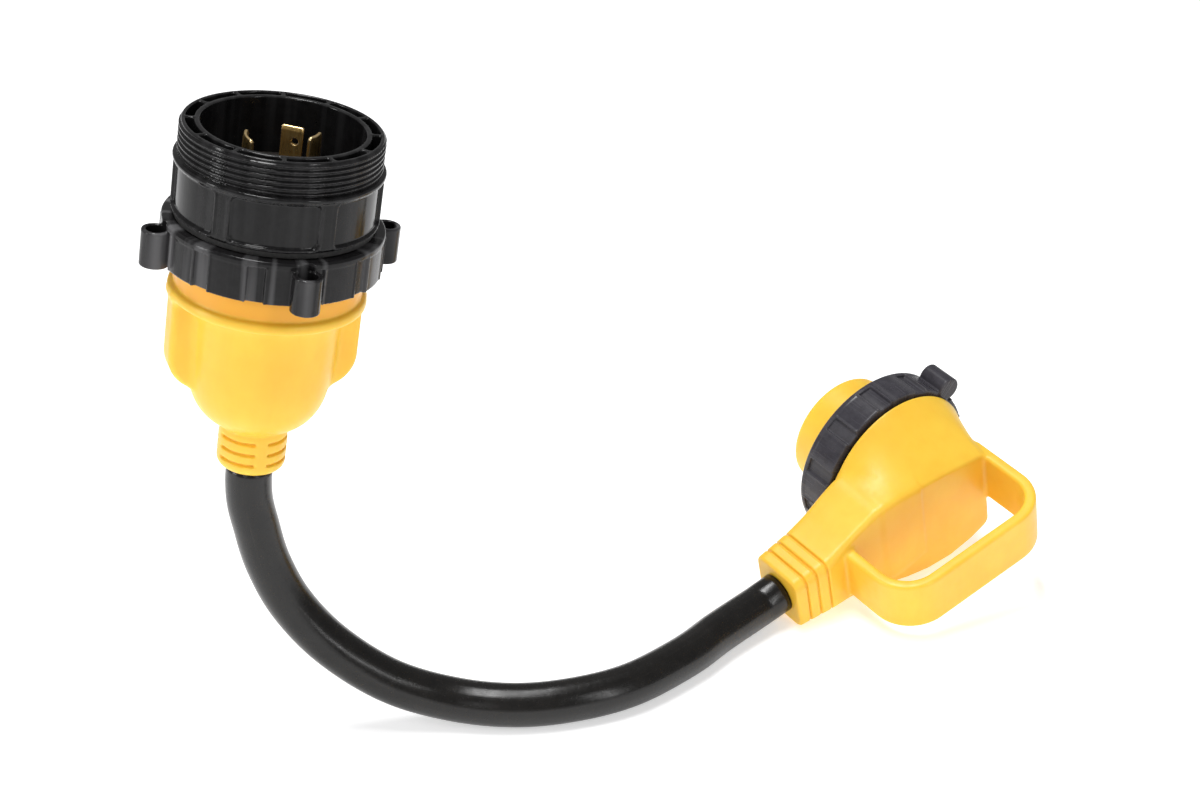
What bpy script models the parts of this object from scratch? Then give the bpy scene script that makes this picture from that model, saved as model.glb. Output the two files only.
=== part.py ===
"""Power adapter dogbone: a locking plug and a right-angle locking connector on a short stiff cable.

Units are metres, +Z is up and the object stands on z = 0. The plug is built in its own frame, whose
+Z runs from the cable up to the rim. The connector is built in its own frame, whose +X runs from
the cable into the housing, +Y is the mating direction and +Z is the upper side.
"""

import math

import bmesh
import bpy
import numpy as np
from mathutils import Matrix, Vector

MM = 0.001
GAP = 0.3 * MM

# Where the two ends lie. The origin is on the floor, under the middle of the two ends.
CENTRE = Vector((0.0128, 0.8594, 0.0))
PLUG_EXIT = Vector((-0.131, 0.790, 0.1197)) - CENTRE
PLUG_AXIS = Vector((0.1506, 0.0360, 0.9879)).normalized()
RING_MOUTH = Vector((0.1195, 0.9389, 0.04165)) - CENTRE
MATING_AXIS = Vector((-0.5909, 0.7959, 0.1320)).normalized()
ENTRY_AXIS = Vector((0.7926, 0.5422, 0.2789)).normalized()

# Cable
CABLE_R = 8.9 * MM
CABLE_SIDES = 10
CABLE_POINTS = 34
CABLE_ROUTE = [
    Vector(point) - CENTRE
    for point in (
        (-0.1322, 0.7899, 0.1040),
        (-0.1307, 0.7900, 0.0935),
        (-0.1271, 0.7900, 0.0760),
        (-0.1191, 0.7900, 0.0569),
        (-0.1046, 0.7900, 0.0380),
        (-0.0834, 0.7905, 0.0212),
        (-0.0600, 0.7915, 0.0118),
        (-0.0356, 0.7905, 0.0092),
        (-0.0119, 0.7940, 0.0091),
        (0.0120, 0.8045, 0.0091),
        (0.0345, 0.8245, 0.0091),
        (0.0490, 0.8420, 0.0093),
    )
]

# Plug, heights above the end where the cable leaves it
PLUG_LENGTH = 134.5 * MM
RELIEF_R = 12.8 * MM
RELIEF_LENGTH = 16.5 * MM
BOWL_R = 27.0 * MM
LIP_R = 35.6 * MM
LIP_TOP = 73.5 * MM
NECK_R = 34.0 * MM
NECK_TOP = 99.5 * MM
SPIGOT_R = 28.8 * MM
SPIGOT_TOP = 110.5 * MM
CAVITY_R = 22.0 * MM
FIN_REACH = 35.2 * MM
FIN_THICK = 12.0 * MM
FIN_TURN = math.radians(20)
SLOT_ROWS = (5.0 * MM, 9.0 * MM, 13.0 * MM)

# Lock rings. The same moulding serves both ends, with four ears on the plug and two on the connector.
RING_R = 40.0 * MM
RING_RECESS = 0.9 * MM
RING_GRIP = 13.5 * MM
RING_FLANGE = 2.6 * MM
RING_PADS = 12
RING_PAD_ANGLE = math.radians(21)
RING_RECESS_FROM_EAR = math.radians(5.5)
EAR_R = 5.3 * MM
EAR_CENTRE_R = 42.6 * MM
EAR_LOW = -0.7 * MM
EAR_HIGH = 13.0 * MM
EAR_BORE_R = 3.6 * MM
EAR_BORE_DEPTH = 9.0 * MM
PLUG_RING_Z = 83.0 * MM
PLUG_RING_BORE_R = 34.4 * MM
PLUG_EAR_TURN = math.radians(23)

# Threaded sleeve
SLEEVE_Z = 101.5 * MM
SLEEVE_R = 36.9 * MM
SLEEVE_BORE_R = 29.2 * MM
SLEEVE_SHOULDER_Z = 120.5 * MM
THREAD_R = 36.4 * MM
THREAD_DEPTH = 0.8 * MM
THREAD_TURNS = 5
POCKETS = 12
POCKET_IN_R = 31.2 * MM
POCKET_OUT_R = 34.2 * MM
POCKET_DEPTH = 7.0 * MM
POCKET_TURN = math.radians(7)
GRIP_PANELS = 6
GRIP_PANEL_TURN = math.radians(-85)
GRIP_PANEL_HALF = math.radians(25)

# Plug contacts
CARRIER_TOP = 113.5 * MM
BLADE_THICK = 1.7 * MM
BLADE_TAIL_Z = 100.5 * MM
CURVED_BLADE_R = 13.0 * MM
BLADE_TIP_BELOW_RIM = 3.9 * MM
GROUND_HOLE_R = 1.3 * MM
GROUND_TURN = math.radians(-10)
CRIMP_R = 3.1 * MM
CRIMP_LENGTH = 13.0 * MM
CORE_R = 2.4 * MM
CORE_BUNDLE_R = 3.2 * MM
FERRULE_R = 8.3 * MM
FERRULE_BORE_R = 5.9 * MM
FERRULE_LENGTH = 13.0 * MM
PLUG_FERRULE_Z = 30.0 * MM

# Connector
HOUSING_R = 38.0 * MM
HOUSING_FRONT = -17.6 * MM
HOUSING_BACK = -47.6 * MM
HOUSING_BACK_X = -3.5 * MM
HOUSING_BACK_HALF_X = 29.5 * MM
HOUSING_TAPER_LENGTH = 28.5 * MM
HOUSING_TAPER_POWER = 0.85
HOUSING_BACK_RIM = (
    # x, height of the back wall's upper edge, depth of its lower edge, in millimetres
    (-34.0, 22.4, 24.0),
    (-22.0, 21.6, 29.0),
    (-10.0, 20.0, 32.5),
    (3.0, 18.2, 34.0),
    (15.0, 16.0, 32.5),
    (23.0, 14.4, 30.0),
    (30.0, 12.8, 26.0),
)
CONNECTOR_NECK_R = 30.0 * MM
CONNECTOR_NECK_TOP = -9.3 * MM
CONNECTOR_CAVITY_STEP = -36.0 * MM
CONNECTOR_CAVITY_FLOOR = -43.0 * MM
CONNECTOR_CAVITY_LOW_R = 16.5 * MM
ENTRY_Y = -35.7 * MM
ENTRY_END = -82.0 * MM
HANDLE_LEFT = -55.0 * MM
HANDLE_RIGHT = 30.0 * MM
HANDLE_BACK = -85.7 * MM
HANDLE_CORNER_R = 19.0 * MM
HANDLE_THICK = 5.0 * MM
HANDLE_HALF = 12.5 * MM
FACE_R = 25.8 * MM
FACE_TOP = 21.5 * MM
CARRIER_FLANGE_R = 33.0 * MM
CONTACT_R = 11.5 * MM
CONNECTOR_FERRULE_X = -60.0 * MM
CONNECTOR_RING_BORE_R = 34.6 * MM
CONNECTOR_RING_LIP_R = 30.4 * MM
CONNECTOR_EAR_TURN = math.radians(53)

ROUND_STEPS = 64


def clear_scene():
    for obj in list(bpy.data.objects):
        bpy.data.objects.remove(obj, do_unlink=True)


def material(name, colour, roughness, metallic=0.0):
    made = bpy.data.materials.new(name)
    made.use_nodes = True
    shader = made.node_tree.nodes["Principled BSDF"]
    shader.inputs["Base Color"].default_value = (*colour, 1.0)
    shader.inputs["Roughness"].default_value = roughness
    shader.inputs["Metallic"].default_value = metallic
    return made


YELLOW = (0.93, 0.60, 0.07)
BLACK = (0.018, 0.018, 0.019)
FINISHES = {
    "yellow_overmould": (YELLOW, 0.38, 0.0),
    "black_plastic": (BLACK, 0.28, 0.0),
    "black_ring_plastic": ((0.028, 0.026, 0.030), 0.35, 0.0),
    "cable_jacket": ((0.022, 0.020, 0.019), 0.42, 0.0),
    "seal_rubber": ((0.012, 0.012, 0.012), 0.75, 0.0),
    "carrier_plastic": ((0.035, 0.033, 0.030), 0.45, 0.0),
    "brass": ((0.72, 0.50, 0.19), 0.30, 1.0),
    "steel_ferrule": ((0.55, 0.55, 0.56), 0.35, 1.0),
    "core_black": ((0.02, 0.02, 0.02), 0.5, 0.0),
    "core_white": ((0.80, 0.80, 0.78), 0.5, 0.0),
    "core_green": ((0.02, 0.25, 0.06), 0.5, 0.0),
}


def finished(name, mesh, finish, parent=None, smooth=True):
    """The scene object of one piece, with its own material."""
    obj = bpy.data.objects.new(name, mesh)
    bpy.context.scene.collection.objects.link(obj)
    colour, roughness, metallic = FINISHES[finish]
    mesh.materials.append(material(name + "_" + finish, colour, roughness, metallic))
    if smooth:
        mesh.shade_smooth()
        mesh.set_sharp_from_angle(angle=math.radians(35))
    obj.parent = parent
    return obj


def mesh_of(bm, name):
    bmesh.ops.remove_doubles(bm, verts=bm.verts, dist=1e-7)
    bmesh.ops.recalc_face_normals(bm, faces=bm.faces)
    mesh = bpy.data.meshes.new(name)
    bm.to_mesh(mesh)
    bm.free()
    return mesh


def lathe(profile, steps=ROUND_STEPS):
    """A solid turned about Z. A profile that starts and ends on the axis is open, any other is closed."""
    bm = bmesh.new()
    corners = [bm.verts.new((radius, 0.0, height)) for radius, height in profile]
    edges = [bm.edges.new(pair) for pair in zip(corners, corners[1:])]
    if profile[0][0] > 0.0:
        edges.append(bm.edges.new((corners[-1], corners[0])))
    bmesh.ops.spin(
        bm, geom=corners + edges, axis=(0, 0, 1), cent=(0, 0, 0),
        angle=math.tau, steps=steps, use_merge=True,
    )
    return mesh_of(bm, "lathe")


def loft(loops, closed=False):
    """A solid through a list of loops with equal numbers of points, capped unless it closes on itself."""
    bm = bmesh.new()
    rows = [[bm.verts.new(point) for point in loop] for loop in loops]
    count = len(rows[0])
    pairs = list(zip(rows, rows[1:]))
    if closed:
        pairs.append((rows[-1], rows[0]))
    for low, high in pairs:
        for i in range(count):
            j = (i + 1) % count
            bm.faces.new((low[i], low[j], high[j], high[i]))
    if not closed:
        bm.faces.new(rows[0])
        bm.faces.new(rows[-1])
    return mesh_of(bm, "loft")


def sector(r_in, r_out, low, high, middle, half_angle, steps=6):
    """A curved block about Z, between two radii and two heights."""
    angles = [middle + half_angle * (2 * i / steps - 1) for i in range(steps + 1)]
    loops = []
    for angle in angles:
        c, s = math.cos(angle), math.sin(angle)
        loops.append([
            (r_in * c, r_in * s, low), (r_out * c, r_out * s, low),
            (r_out * c, r_out * s, high), (r_in * c, r_in * s, high),
        ])
    return loft(loops)


def box(centre, size):
    bm = bmesh.new()
    bmesh.ops.create_cube(bm, size=1.0)
    bmesh.ops.scale(bm, vec=size, verts=bm.verts)
    bmesh.ops.translate(bm, vec=centre, verts=bm.verts)
    return mesh_of(bm, "box")


def cylinder(radius, low, high, steps=24, at=(0.0, 0.0)):
    mesh = lathe([(0.0, low), (radius, low), (radius, high), (0.0, high)], steps)
    mesh.transform(Matrix.Translation((at[0], at[1], 0.0)))
    return mesh


def circle(radius, height, steps=ROUND_STEPS):
    return [
        (radius * math.cos(math.tau * i / steps), radius * math.sin(math.tau * i / steps), height)
        for i in range(steps)
    ]


def combine(obj, meshes, operation):
    """Adds or cuts each mesh with a Boolean modifier, whose helper object stays out of the render."""
    for i, mesh in enumerate(meshes):
        helper = bpy.data.objects.new(f"{obj.name}_{operation.lower()}_{i}", mesh)
        bpy.context.scene.collection.objects.link(helper)
        helper.parent = obj.parent
        helper.hide_render = True
        helper.display_type = "WIRE"
        modifier = obj.modifiers.new(f"{operation.lower()}_{i}", "BOOLEAN")
        modifier.operation = operation
        modifier.solver = "EXACT"
        modifier.object = helper
    return obj


def frame_empty(name, origin, x_axis, y_axis, z_axis):
    empty = bpy.data.objects.new(name, None)
    bpy.context.scene.collection.objects.link(empty)
    turn = Matrix((x_axis, y_axis, z_axis)).transposed().to_4x4()
    empty.matrix_world = Matrix.Translation(origin) @ turn
    return empty


def smooth_path(points, count):
    """Evenly spaced points on a Catmull-Rom curve through the route's points."""
    ends = [points[0] * 2 - points[1]] + list(points) + [points[-1] * 2 - points[-2]]
    fine = []
    for a, b, c, d in zip(ends, ends[1:], ends[2:], ends[3:]):
        for i in range(20):
            t = i / 20
            fine.append(0.5 * (
                2 * b + (c - a) * t + (2 * a - 5 * b + 4 * c - d) * t**2
                + (3 * b - a - 3 * c + d) * t**3
            ))
    fine.append(points[-1].copy())
    lengths = [0.0]
    for a, b in zip(fine, fine[1:]):
        lengths.append(lengths[-1] + (b - a).length)
    even = []
    k = 0
    for i in range(count):
        want = lengths[-1] * i / (count - 1)
        while k < len(fine) - 2 and lengths[k + 1] < want:
            k += 1
        part = (want - lengths[k]) / (lengths[k + 1] - lengths[k])
        even.append(fine[k].lerp(fine[k + 1], min(part, 1.0)))
    return even


def tube(name, points, radius, finish, parent=None, resolution=2):
    curve = bpy.data.curves.new(name, "CURVE")
    curve.dimensions = "3D"
    curve.bevel_depth = radius
    curve.bevel_resolution = resolution
    curve.use_fill_caps = True
    spline = curve.splines.new("POLY")
    spline.points.add(len(points) - 1)
    for target, point in zip(spline.points, points):
        target.co = (*point, 1.0)
    obj = bpy.data.objects.new(name, curve)
    bpy.context.scene.collection.objects.link(obj)
    colour, roughness, metallic = FINISHES[finish]
    curve.materials.append(material(name + "_" + finish, colour, roughness, metallic))
    obj.parent = parent
    return obj


# Plug


def arc_profile(centre, radius, start, end, steps):
    return [
        (centre[0] + radius * math.cos(start + (end - start) * i / steps),
         centre[1] + radius * math.sin(start + (end - start) * i / steps))
        for i in range(steps + 1)
    ]


def plug_body(frame):
    relief_corner = 3.5 * MM
    neck_groove_r = RELIEF_R - 0.8 * MM
    profile = [(0.0, 0.0)]
    profile += arc_profile((RELIEF_R - relief_corner, relief_corner), relief_corner, -math.pi / 2, 0, 4)
    profile += [(RELIEF_R, RELIEF_LENGTH - 2 * MM), (neck_groove_r, RELIEF_LENGTH)]
    profile += [
        (neck_groove_r + 1.4 * MM, 17.3 * MM), (16.7 * MM, 19.5 * MM), (20.4 * MM, 23.5 * MM),
        (23.6 * MM, 28.6 * MM), (25.6 * MM, 36.5 * MM), (26.5 * MM, 46.0 * MM),
        (BOWL_R, LIP_TOP - 9.0 * MM), (BOWL_R + 1.2 * MM, LIP_TOP - 6.5 * MM),
        (LIP_R - 2.5 * MM, LIP_TOP - 5.0 * MM), (LIP_R - 0.6 * MM, LIP_TOP - 4.0 * MM),
        (LIP_R, LIP_TOP - 2.6 * MM), (LIP_R - 0.4 * MM, LIP_TOP - 0.8 * MM), (LIP_R - 1.1 * MM, LIP_TOP),
        (NECK_R, LIP_TOP), (NECK_R, NECK_TOP), (SPIGOT_R, NECK_TOP), (SPIGOT_R, SPIGOT_TOP),
        (CAVITY_R, SPIGOT_TOP), (CAVITY_R, 60.0 * MM), (15.0 * MM, 51.0 * MM),
        (FERRULE_R + GAP, 46.0 * MM), (FERRULE_R + GAP, PLUG_FERRULE_Z - GAP), (0.0, PLUG_FERRULE_Z - GAP),
    ]
    body = finished("plug_body", lathe(profile, 52), "yellow_overmould", frame)
    combine(body, [fin_pair()], "UNION")
    combine(body, relief_slots(), "DIFFERENCE")
    return body


def fin_pair():
    """One flat plate through the axis: its two ends are the fins, and the body's cavity stays clear of it."""
    meshes = []
    for side in (1, -1):
        inner = 23.5 * MM
        corner = 16.0 * MM
        top = LIP_TOP - 0.6 * MM
        bottom = 34.5 * MM
        outline = [(inner, top), (FIN_REACH - 1.0 * MM, top), (FIN_REACH, top - 1.5 * MM)]
        outline += arc_profile((FIN_REACH - corner, bottom + corner), corner, 0, -math.radians(75), 6)
        outline += [(inner - 3.0 * MM, bottom + 3.5 * MM)]
        chamfer = 2.2 * MM
        half = FIN_THICK / 2
        middle = (0.5 * (inner + FIN_REACH), 0.5 * (top + bottom))
        loops = []
        for depth, inset in ((-half, chamfer), (-half + chamfer, 0.0), (half - chamfer, 0.0), (half, chamfer)):
            shrink = (1 - inset / (0.5 * (FIN_REACH - inner)) * 0.5, 1 - inset / (0.5 * (top - bottom)))
            loops.append([
                (side * (middle[0] + (x - middle[0]) * shrink[0]), depth, middle[1] + (z - middle[1]) * shrink[1])
                for x, z in outline
            ])
        meshes.append(loft(loops))
    bm = bmesh.new()
    for mesh in meshes:
        bm.from_mesh(mesh)
    joined = mesh_of(bm, "fins")
    joined.transform(Matrix.Rotation(FIN_TURN, 4, "Z"))
    return joined


def relief_slots():
    """Narrow slots round the strain relief, in rows, broken by a bar on each quarter."""
    depth = 1.6 * MM
    half_width = 0.55 * MM
    cuts = []
    for row in SLOT_ROWS:
        bm = bmesh.new()
        for quarter in range(4):
            middle = math.radians(-112 + 90 * quarter)
            bm.from_mesh(sector(
                RELIEF_R - depth, RELIEF_R + 2 * MM, row - half_width, row + half_width,
                middle, math.radians(35), 5,
            ))
        cuts.append(mesh_of(bm, "slots"))
    return cuts


def plug_sleeve(frame):
    """The double-walled sleeve: thread above, grip below, pockets between its walls at the rim."""
    chamfer = 1.2 * MM
    thread_low = SLEEVE_SHOULDER_Z + 1.6 * MM
    thread_high = PLUG_LENGTH - 1.0 * MM
    pitch = (thread_high - thread_low) / THREAD_TURNS
    profile = [
        (SLEEVE_BORE_R, SLEEVE_Z), (SLEEVE_R - chamfer, SLEEVE_Z), (SLEEVE_R, SLEEVE_Z + chamfer),
        (SLEEVE_R - 0.4 * MM, SLEEVE_SHOULDER_Z - 1.2 * MM), (SLEEVE_R + 0.8 * MM, SLEEVE_SHOULDER_Z),
        (SLEEVE_R + 0.8 * MM, SLEEVE_SHOULDER_Z + 0.8 * MM), (THREAD_R - THREAD_DEPTH, thread_low),
    ]
    for turn in range(THREAD_TURNS):
        z = thread_low + pitch * turn
        profile += [(THREAD_R, z + 0.35 * pitch), (THREAD_R, z + 0.65 * pitch)]
        profile += [(THREAD_R - THREAD_DEPTH, z + pitch)]
    profile += [
        (THREAD_R - 0.3 * MM, PLUG_LENGTH - 0.4 * MM), (THREAD_R - 0.7 * MM, PLUG_LENGTH),
        (SLEEVE_BORE_R + 0.4 * MM, PLUG_LENGTH), (SLEEVE_BORE_R, PLUG_LENGTH - 0.4 * MM),
    ]
    sleeve = finished("threaded_sleeve", lathe(profile, 60), "black_plastic", frame)
    bm = bmesh.new()
    step = math.tau / POCKETS
    for i in range(POCKETS):
        bm.from_mesh(sector(
            POCKET_IN_R, POCKET_OUT_R, PLUG_LENGTH - POCKET_DEPTH, PLUG_LENGTH + 1 * MM,
            POCKET_TURN + step * (i + 0.5), 0.5 * step - math.radians(1.6), 3,
        ))
    combine(sleeve, [mesh_of(bm, "pockets")], "DIFFERENCE")
    bm = bmesh.new()
    for i in range(GRIP_PANELS):
        bm.from_mesh(sector(
            SLEEVE_R - 0.9 * MM, SLEEVE_R + 2 * MM, SLEEVE_Z + 2.2 * MM, SLEEVE_SHOULDER_Z - 1.6 * MM,
            GRIP_PANEL_TURN + math.tau * i / GRIP_PANELS, GRIP_PANEL_HALF, 5,
        ))
    combine(sleeve, [mesh_of(bm, "panels")], "DIFFERENCE")
    return sleeve


def lock_ring_mesh(bore_steps, ear_turn, ears):
    """A ring that stands on z = 0 with its flange on top, and the meshes of its ears and their bores."""
    recess = RING_R - RING_RECESS
    height = RING_GRIP + RING_FLANGE
    pitch = math.tau / RING_PADS
    outer = []
    edge = math.radians(0.6)
    first = ear_turn + RING_RECESS_FROM_EAR + (pitch - RING_PAD_ANGLE) / 2
    for pad in range(RING_PADS):
        start = first + pitch * pad
        for radius, low, high, parts in ((RING_R, 0.0, RING_PAD_ANGLE, 3), (recess, RING_PAD_ANGLE, pitch, 2)):
            for i in range(parts + 1):
                at = start + low + edge + (high - low - 2 * edge) * i / parts
                outer.append((radius, at))

    def ring_loop(height_at, inset=0.0, fixed=None):
        return [
            ((fixed or radius - inset) * math.cos(at), (fixed or radius - inset) * math.sin(at), height_at)
            for radius, at in outer
        ]

    loops = [ring_loop(0.0, 0.8 * MM), ring_loop(0.8 * MM), ring_loop(RING_GRIP)]
    loops += [
        ring_loop(RING_GRIP + 0.3 * MM, fixed=RING_R), ring_loop(height - 1.0 * MM, fixed=RING_R),
        ring_loop(height, fixed=RING_R - 1.4 * MM),
    ]
    for radius, z in reversed(bore_steps):
        loops.append(ring_loop(z, fixed=radius))
    body = loft(loops, closed=True)
    ear_meshes = []
    bores = []
    for k in range(ears):
        at = ear_turn + math.tau * k / ears
        place = (EAR_CENTRE_R * math.cos(at), EAR_CENTRE_R * math.sin(at))
        ear = lathe([
            (0.0, EAR_LOW), (EAR_R - 0.6 * MM, EAR_LOW), (EAR_R, EAR_LOW + 0.6 * MM),
            (EAR_R, EAR_HIGH - 0.4 * MM), (EAR_R - 0.4 * MM, EAR_HIGH), (0.0, EAR_HIGH),
        ], 20)
        ear.transform(Matrix.Translation((*place, 0.0)))
        ear_meshes.append(ear)
        bores.append(cylinder(EAR_BORE_R, EAR_HIGH - EAR_BORE_DEPTH, EAR_HIGH + 5 * MM, 14, place))
    return body, ear_meshes, bores


def lock_ring(name, frame, bore_steps, ear_turn, ears, place):
    body, ear_meshes, bores = lock_ring_mesh(bore_steps, ear_turn, ears)
    for mesh in [body] + ear_meshes + bores:
        mesh.transform(place)
    ring = finished(name, body, "black_ring_plastic", frame)
    combine(ring, ear_meshes, "UNION")
    combine(ring, bores, "DIFFERENCE")
    return ring


def plug_contacts(frame):
    """The carrier, the two curved blades, the flat ground blade, their crimps and the cores behind them."""
    tip = PLUG_LENGTH - BLADE_TIP_BELOW_RIM
    blades = {
        # centre of its curve, direction of its middle, half of its angle
        "hot": ((0.0, 0.0), math.radians(197), math.radians(26)),
        "neutral": ((-0.8 * MM, 10.4 * MM), math.radians(-21.6), math.radians(19)),
    }
    cuts = []
    places = {}
    for name, (centre, angle, half_angle) in blades.items():
        inner, outer = CURVED_BLADE_R - BLADE_THICK / 2, CURVED_BLADE_R + BLADE_THICK / 2
        shape = sector(inner, outer, BLADE_TAIL_Z, tip, angle, half_angle, 6)
        cut = sector(
            inner - GAP, outer + GAP, BLADE_TAIL_Z - 9 * MM, CARRIER_TOP + 9 * MM,
            angle, half_angle + math.radians(1.6), 6,
        )
        for mesh in (shape, cut):
            mesh.transform(Matrix.Translation((*centre, 0.0)))
        finished(f"plug_blade_{name}", shape, "brass", frame)
        cuts.append(cut)
        places[name] = (
            centre[0] + CURVED_BLADE_R * math.cos(angle), centre[1] + CURVED_BLADE_R * math.sin(angle))
    ground_at = (2.4 * MM, 11.3 * MM)
    ground_place = Matrix.Translation((*ground_at, 0.0)) @ Matrix.Rotation(GROUND_TURN, 4, "Z")
    width = 8.2 * MM
    middle = (BLADE_TAIL_Z + tip) / 2
    shape = box((0.0, 0.0, middle), (width, BLADE_THICK, tip - BLADE_TAIL_Z))
    hole = cylinder(GROUND_HOLE_R, -5 * MM, 5 * MM, 16)
    hole.transform(
        Matrix.Translation((1.2 * MM, 0.0, tip - 5.4 * MM)) @ Matrix.Rotation(math.pi / 2, 4, "X"))
    cut = box((0.0, 0.0, middle), (width + 2 * GAP, BLADE_THICK + 2 * GAP, 60 * MM))
    for mesh in (shape, hole, cut):
        mesh.transform(ground_place)
    ground = finished("plug_blade_ground", shape, "brass", frame, smooth=False)
    combine(ground, [hole], "DIFFERENCE")
    cuts.append(cut)
    places["ground"] = ground_at
    carrier = finished("plug_blade_carrier", lathe([
        (0.0, BLADE_TAIL_Z), (CAVITY_R - GAP, BLADE_TAIL_Z), (CAVITY_R - GAP, SPIGOT_TOP + GAP),
        (SPIGOT_R - 0.2 * MM, SPIGOT_TOP + GAP), (SPIGOT_R - 0.2 * MM, CARRIER_TOP - 0.5 * MM),
        (SPIGOT_R - 0.7 * MM, CARRIER_TOP), (0.0, CARRIER_TOP),
    ], 48), "carrier_plastic", frame)
    combine(carrier, cuts, "DIFFERENCE")
    crimp_top = BLADE_TAIL_Z - GAP
    for index, name in enumerate(("hot", "neutral", "ground")):
        at = places[name]
        finished(f"plug_crimp_{name}", cylinder(CRIMP_R, crimp_top - CRIMP_LENGTH, crimp_top, 16, at), "brass", frame)
        start = Vector((*at, crimp_top - CRIMP_LENGTH - GAP))
        turn = math.radians({"hot": 200, "neutral": 320, "ground": 80}[name])
        low = Vector((CORE_BUNDLE_R * math.cos(turn), CORE_BUNDLE_R * math.sin(turn), PLUG_FERRULE_Z + 0.5 * MM))
        high = Vector((low.x, low.y, PLUG_FERRULE_Z + FERRULE_LENGTH + 2 * MM))
        route = [low, high, high.lerp(start, 0.5), start - Vector((0, 0, 5 * MM))]
        colour = {"hot": "core_black", "neutral": "core_white", "ground": "core_green"}[name]
        tube(f"plug_core_{name}", smooth_path(route, 12) + [start], CORE_R, colour, frame, 1)
    finished("plug_ferrule", lathe([
        (FERRULE_BORE_R, PLUG_FERRULE_Z), (FERRULE_R, PLUG_FERRULE_Z),
        (FERRULE_R, PLUG_FERRULE_Z + FERRULE_LENGTH), (FERRULE_BORE_R, PLUG_FERRULE_Z + FERRULE_LENGTH),
    ], 32), "steel_ferrule", frame)


def washer(name, frame, r_in, r_out, low, high, place=None):
    mesh = lathe([(r_in, low), (r_out, low), (r_out, high), (r_in, high)], 48)
    if place:
        mesh.transform(place)
    return finished(name, mesh, "seal_rubber", frame)


def build_plug():
    y_axis = PLUG_AXIS.cross(Vector((1, 0, 0))).normalized()
    frame = frame_empty("plug_frame", PLUG_EXIT, y_axis.cross(PLUG_AXIS), y_axis, PLUG_AXIS)
    plug_body(frame)
    plug_sleeve(frame)
    place = Matrix.Translation((0, 0, PLUG_RING_Z))
    height = RING_GRIP + RING_FLANGE
    lock_ring(
        "plug_lock_ring", frame,
        [(PLUG_RING_BORE_R, 0.0), (PLUG_RING_BORE_R, height)], PLUG_EAR_TURN, 4, place,
    )
    ring_top = PLUG_RING_Z + height
    washer("plug_ring_washer", frame, NECK_R + 0.4 * MM, SLEEVE_R - 0.9 * MM, ring_top + GAP, SLEEVE_Z - GAP)
    washer("sleeve_seal", frame, SPIGOT_R + GAP, NECK_R - 0.2 * MM, NECK_TOP + GAP, SLEEVE_Z - GAP)
    plug_contacts(frame)


# Connector


def housing_section(y, inset=0.0, steps=60):
    """The housing's outline at y, on its way from the round front to the back wall's rim."""
    rim_x, heights, depths = (np.array(column) * MM for column in zip(*HOUSING_BACK_RIM))
    share = min(max((HOUSING_FRONT - 0.6 * MM - y) / HOUSING_TAPER_LENGTH, 0.0), 1.0) ** HOUSING_TAPER_POWER

    def gap(x, z):
        rim = max(z - np.interp(x, rim_x, heights), -z - np.interp(x, rim_x, depths))
        rim = max(rim, abs(x - HOUSING_BACK_X) - HOUSING_BACK_HALF_X)
        return (1 - share) * (math.hypot(x, z) - HOUSING_R) + share * rim + inset

    points = []
    for i in range(steps):
        at = math.tau * i / steps
        c, s = math.cos(at), math.sin(at)
        near, far = 0.0, HOUSING_R + 6 * MM
        for _ in range(40):
            middle = (near + far) / 2
            if gap(HOUSING_BACK_X + middle * c, middle * s) < 0:
                near = middle
            else:
                far = middle
        points.append((HOUSING_BACK_X + near * c, y, near * s))
    return points


def rounded_rectangle(x, centre_y, half_y, half_z, corner, steps=4):
    points = []
    for quarter, (sy, sz) in enumerate(((1, 1), (-1, 1), (-1, -1), (1, -1))):
        for i in range(steps + 1):
            at = math.pi / 2 * (quarter + i / steps)
            points.append((
                x, centre_y + sy * (half_y - corner) + corner * math.cos(at),
                sz * (half_z - corner) + corner * math.sin(at),
            ))
    return points


def housing_mesh():
    stations = [
        (HOUSING_FRONT, 0.8 * MM),
        (HOUSING_FRONT - 0.8 * MM, 0.0),
        (-21.5 * MM, 0.0),
        (-26.0 * MM, 0.0),
        (-31.0 * MM, 0.0),
        (-36.0 * MM, 0.0),
        (-41.0 * MM, 0.0),
        (HOUSING_BACK + 1.6 * MM, 0.0),
        (HOUSING_BACK + 0.5 * MM, 0.5 * MM),
        (HOUSING_BACK, 1.6 * MM),
    ]
    return loft([housing_section(y, inset) for y, inset in stations])


def strain_relief_mesh():
    """A block round the cable that widens into the housing."""
    sections = [
        (ENTRY_END, 12.2 * MM, 12.4 * MM, 4.0 * MM, ENTRY_Y),
        (ENTRY_END + 1.2 * MM, 13.2 * MM, 13.4 * MM, 4.5 * MM, ENTRY_Y),
        (-64.0 * MM, 14.4 * MM, 14.6 * MM, 4.0 * MM, ENTRY_Y),
        (-54.0 * MM, 13.6 * MM, 16.8 * MM, 2.8 * MM, ENTRY_Y + 1.0 * MM),
        (-44.0 * MM, 14.0 * MM, 19.6 * MM, 2.6 * MM, ENTRY_Y + 2.0 * MM),
        (-35.0 * MM, 14.3 * MM, 22.2 * MM, 2.8 * MM, ENTRY_Y + 2.5 * MM),
        (-24.0 * MM, 14.1 * MM, 21.5 * MM, 3.0 * MM, ENTRY_Y + 2.4 * MM),
        (-12.0 * MM, 13.9 * MM, 19.4 * MM, 3.0 * MM, ENTRY_Y + 2.3 * MM),
    ]
    return loft([rounded_rectangle(x, y, half_y, half_z, corner) for x, half_y, half_z, corner, y in sections])


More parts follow.
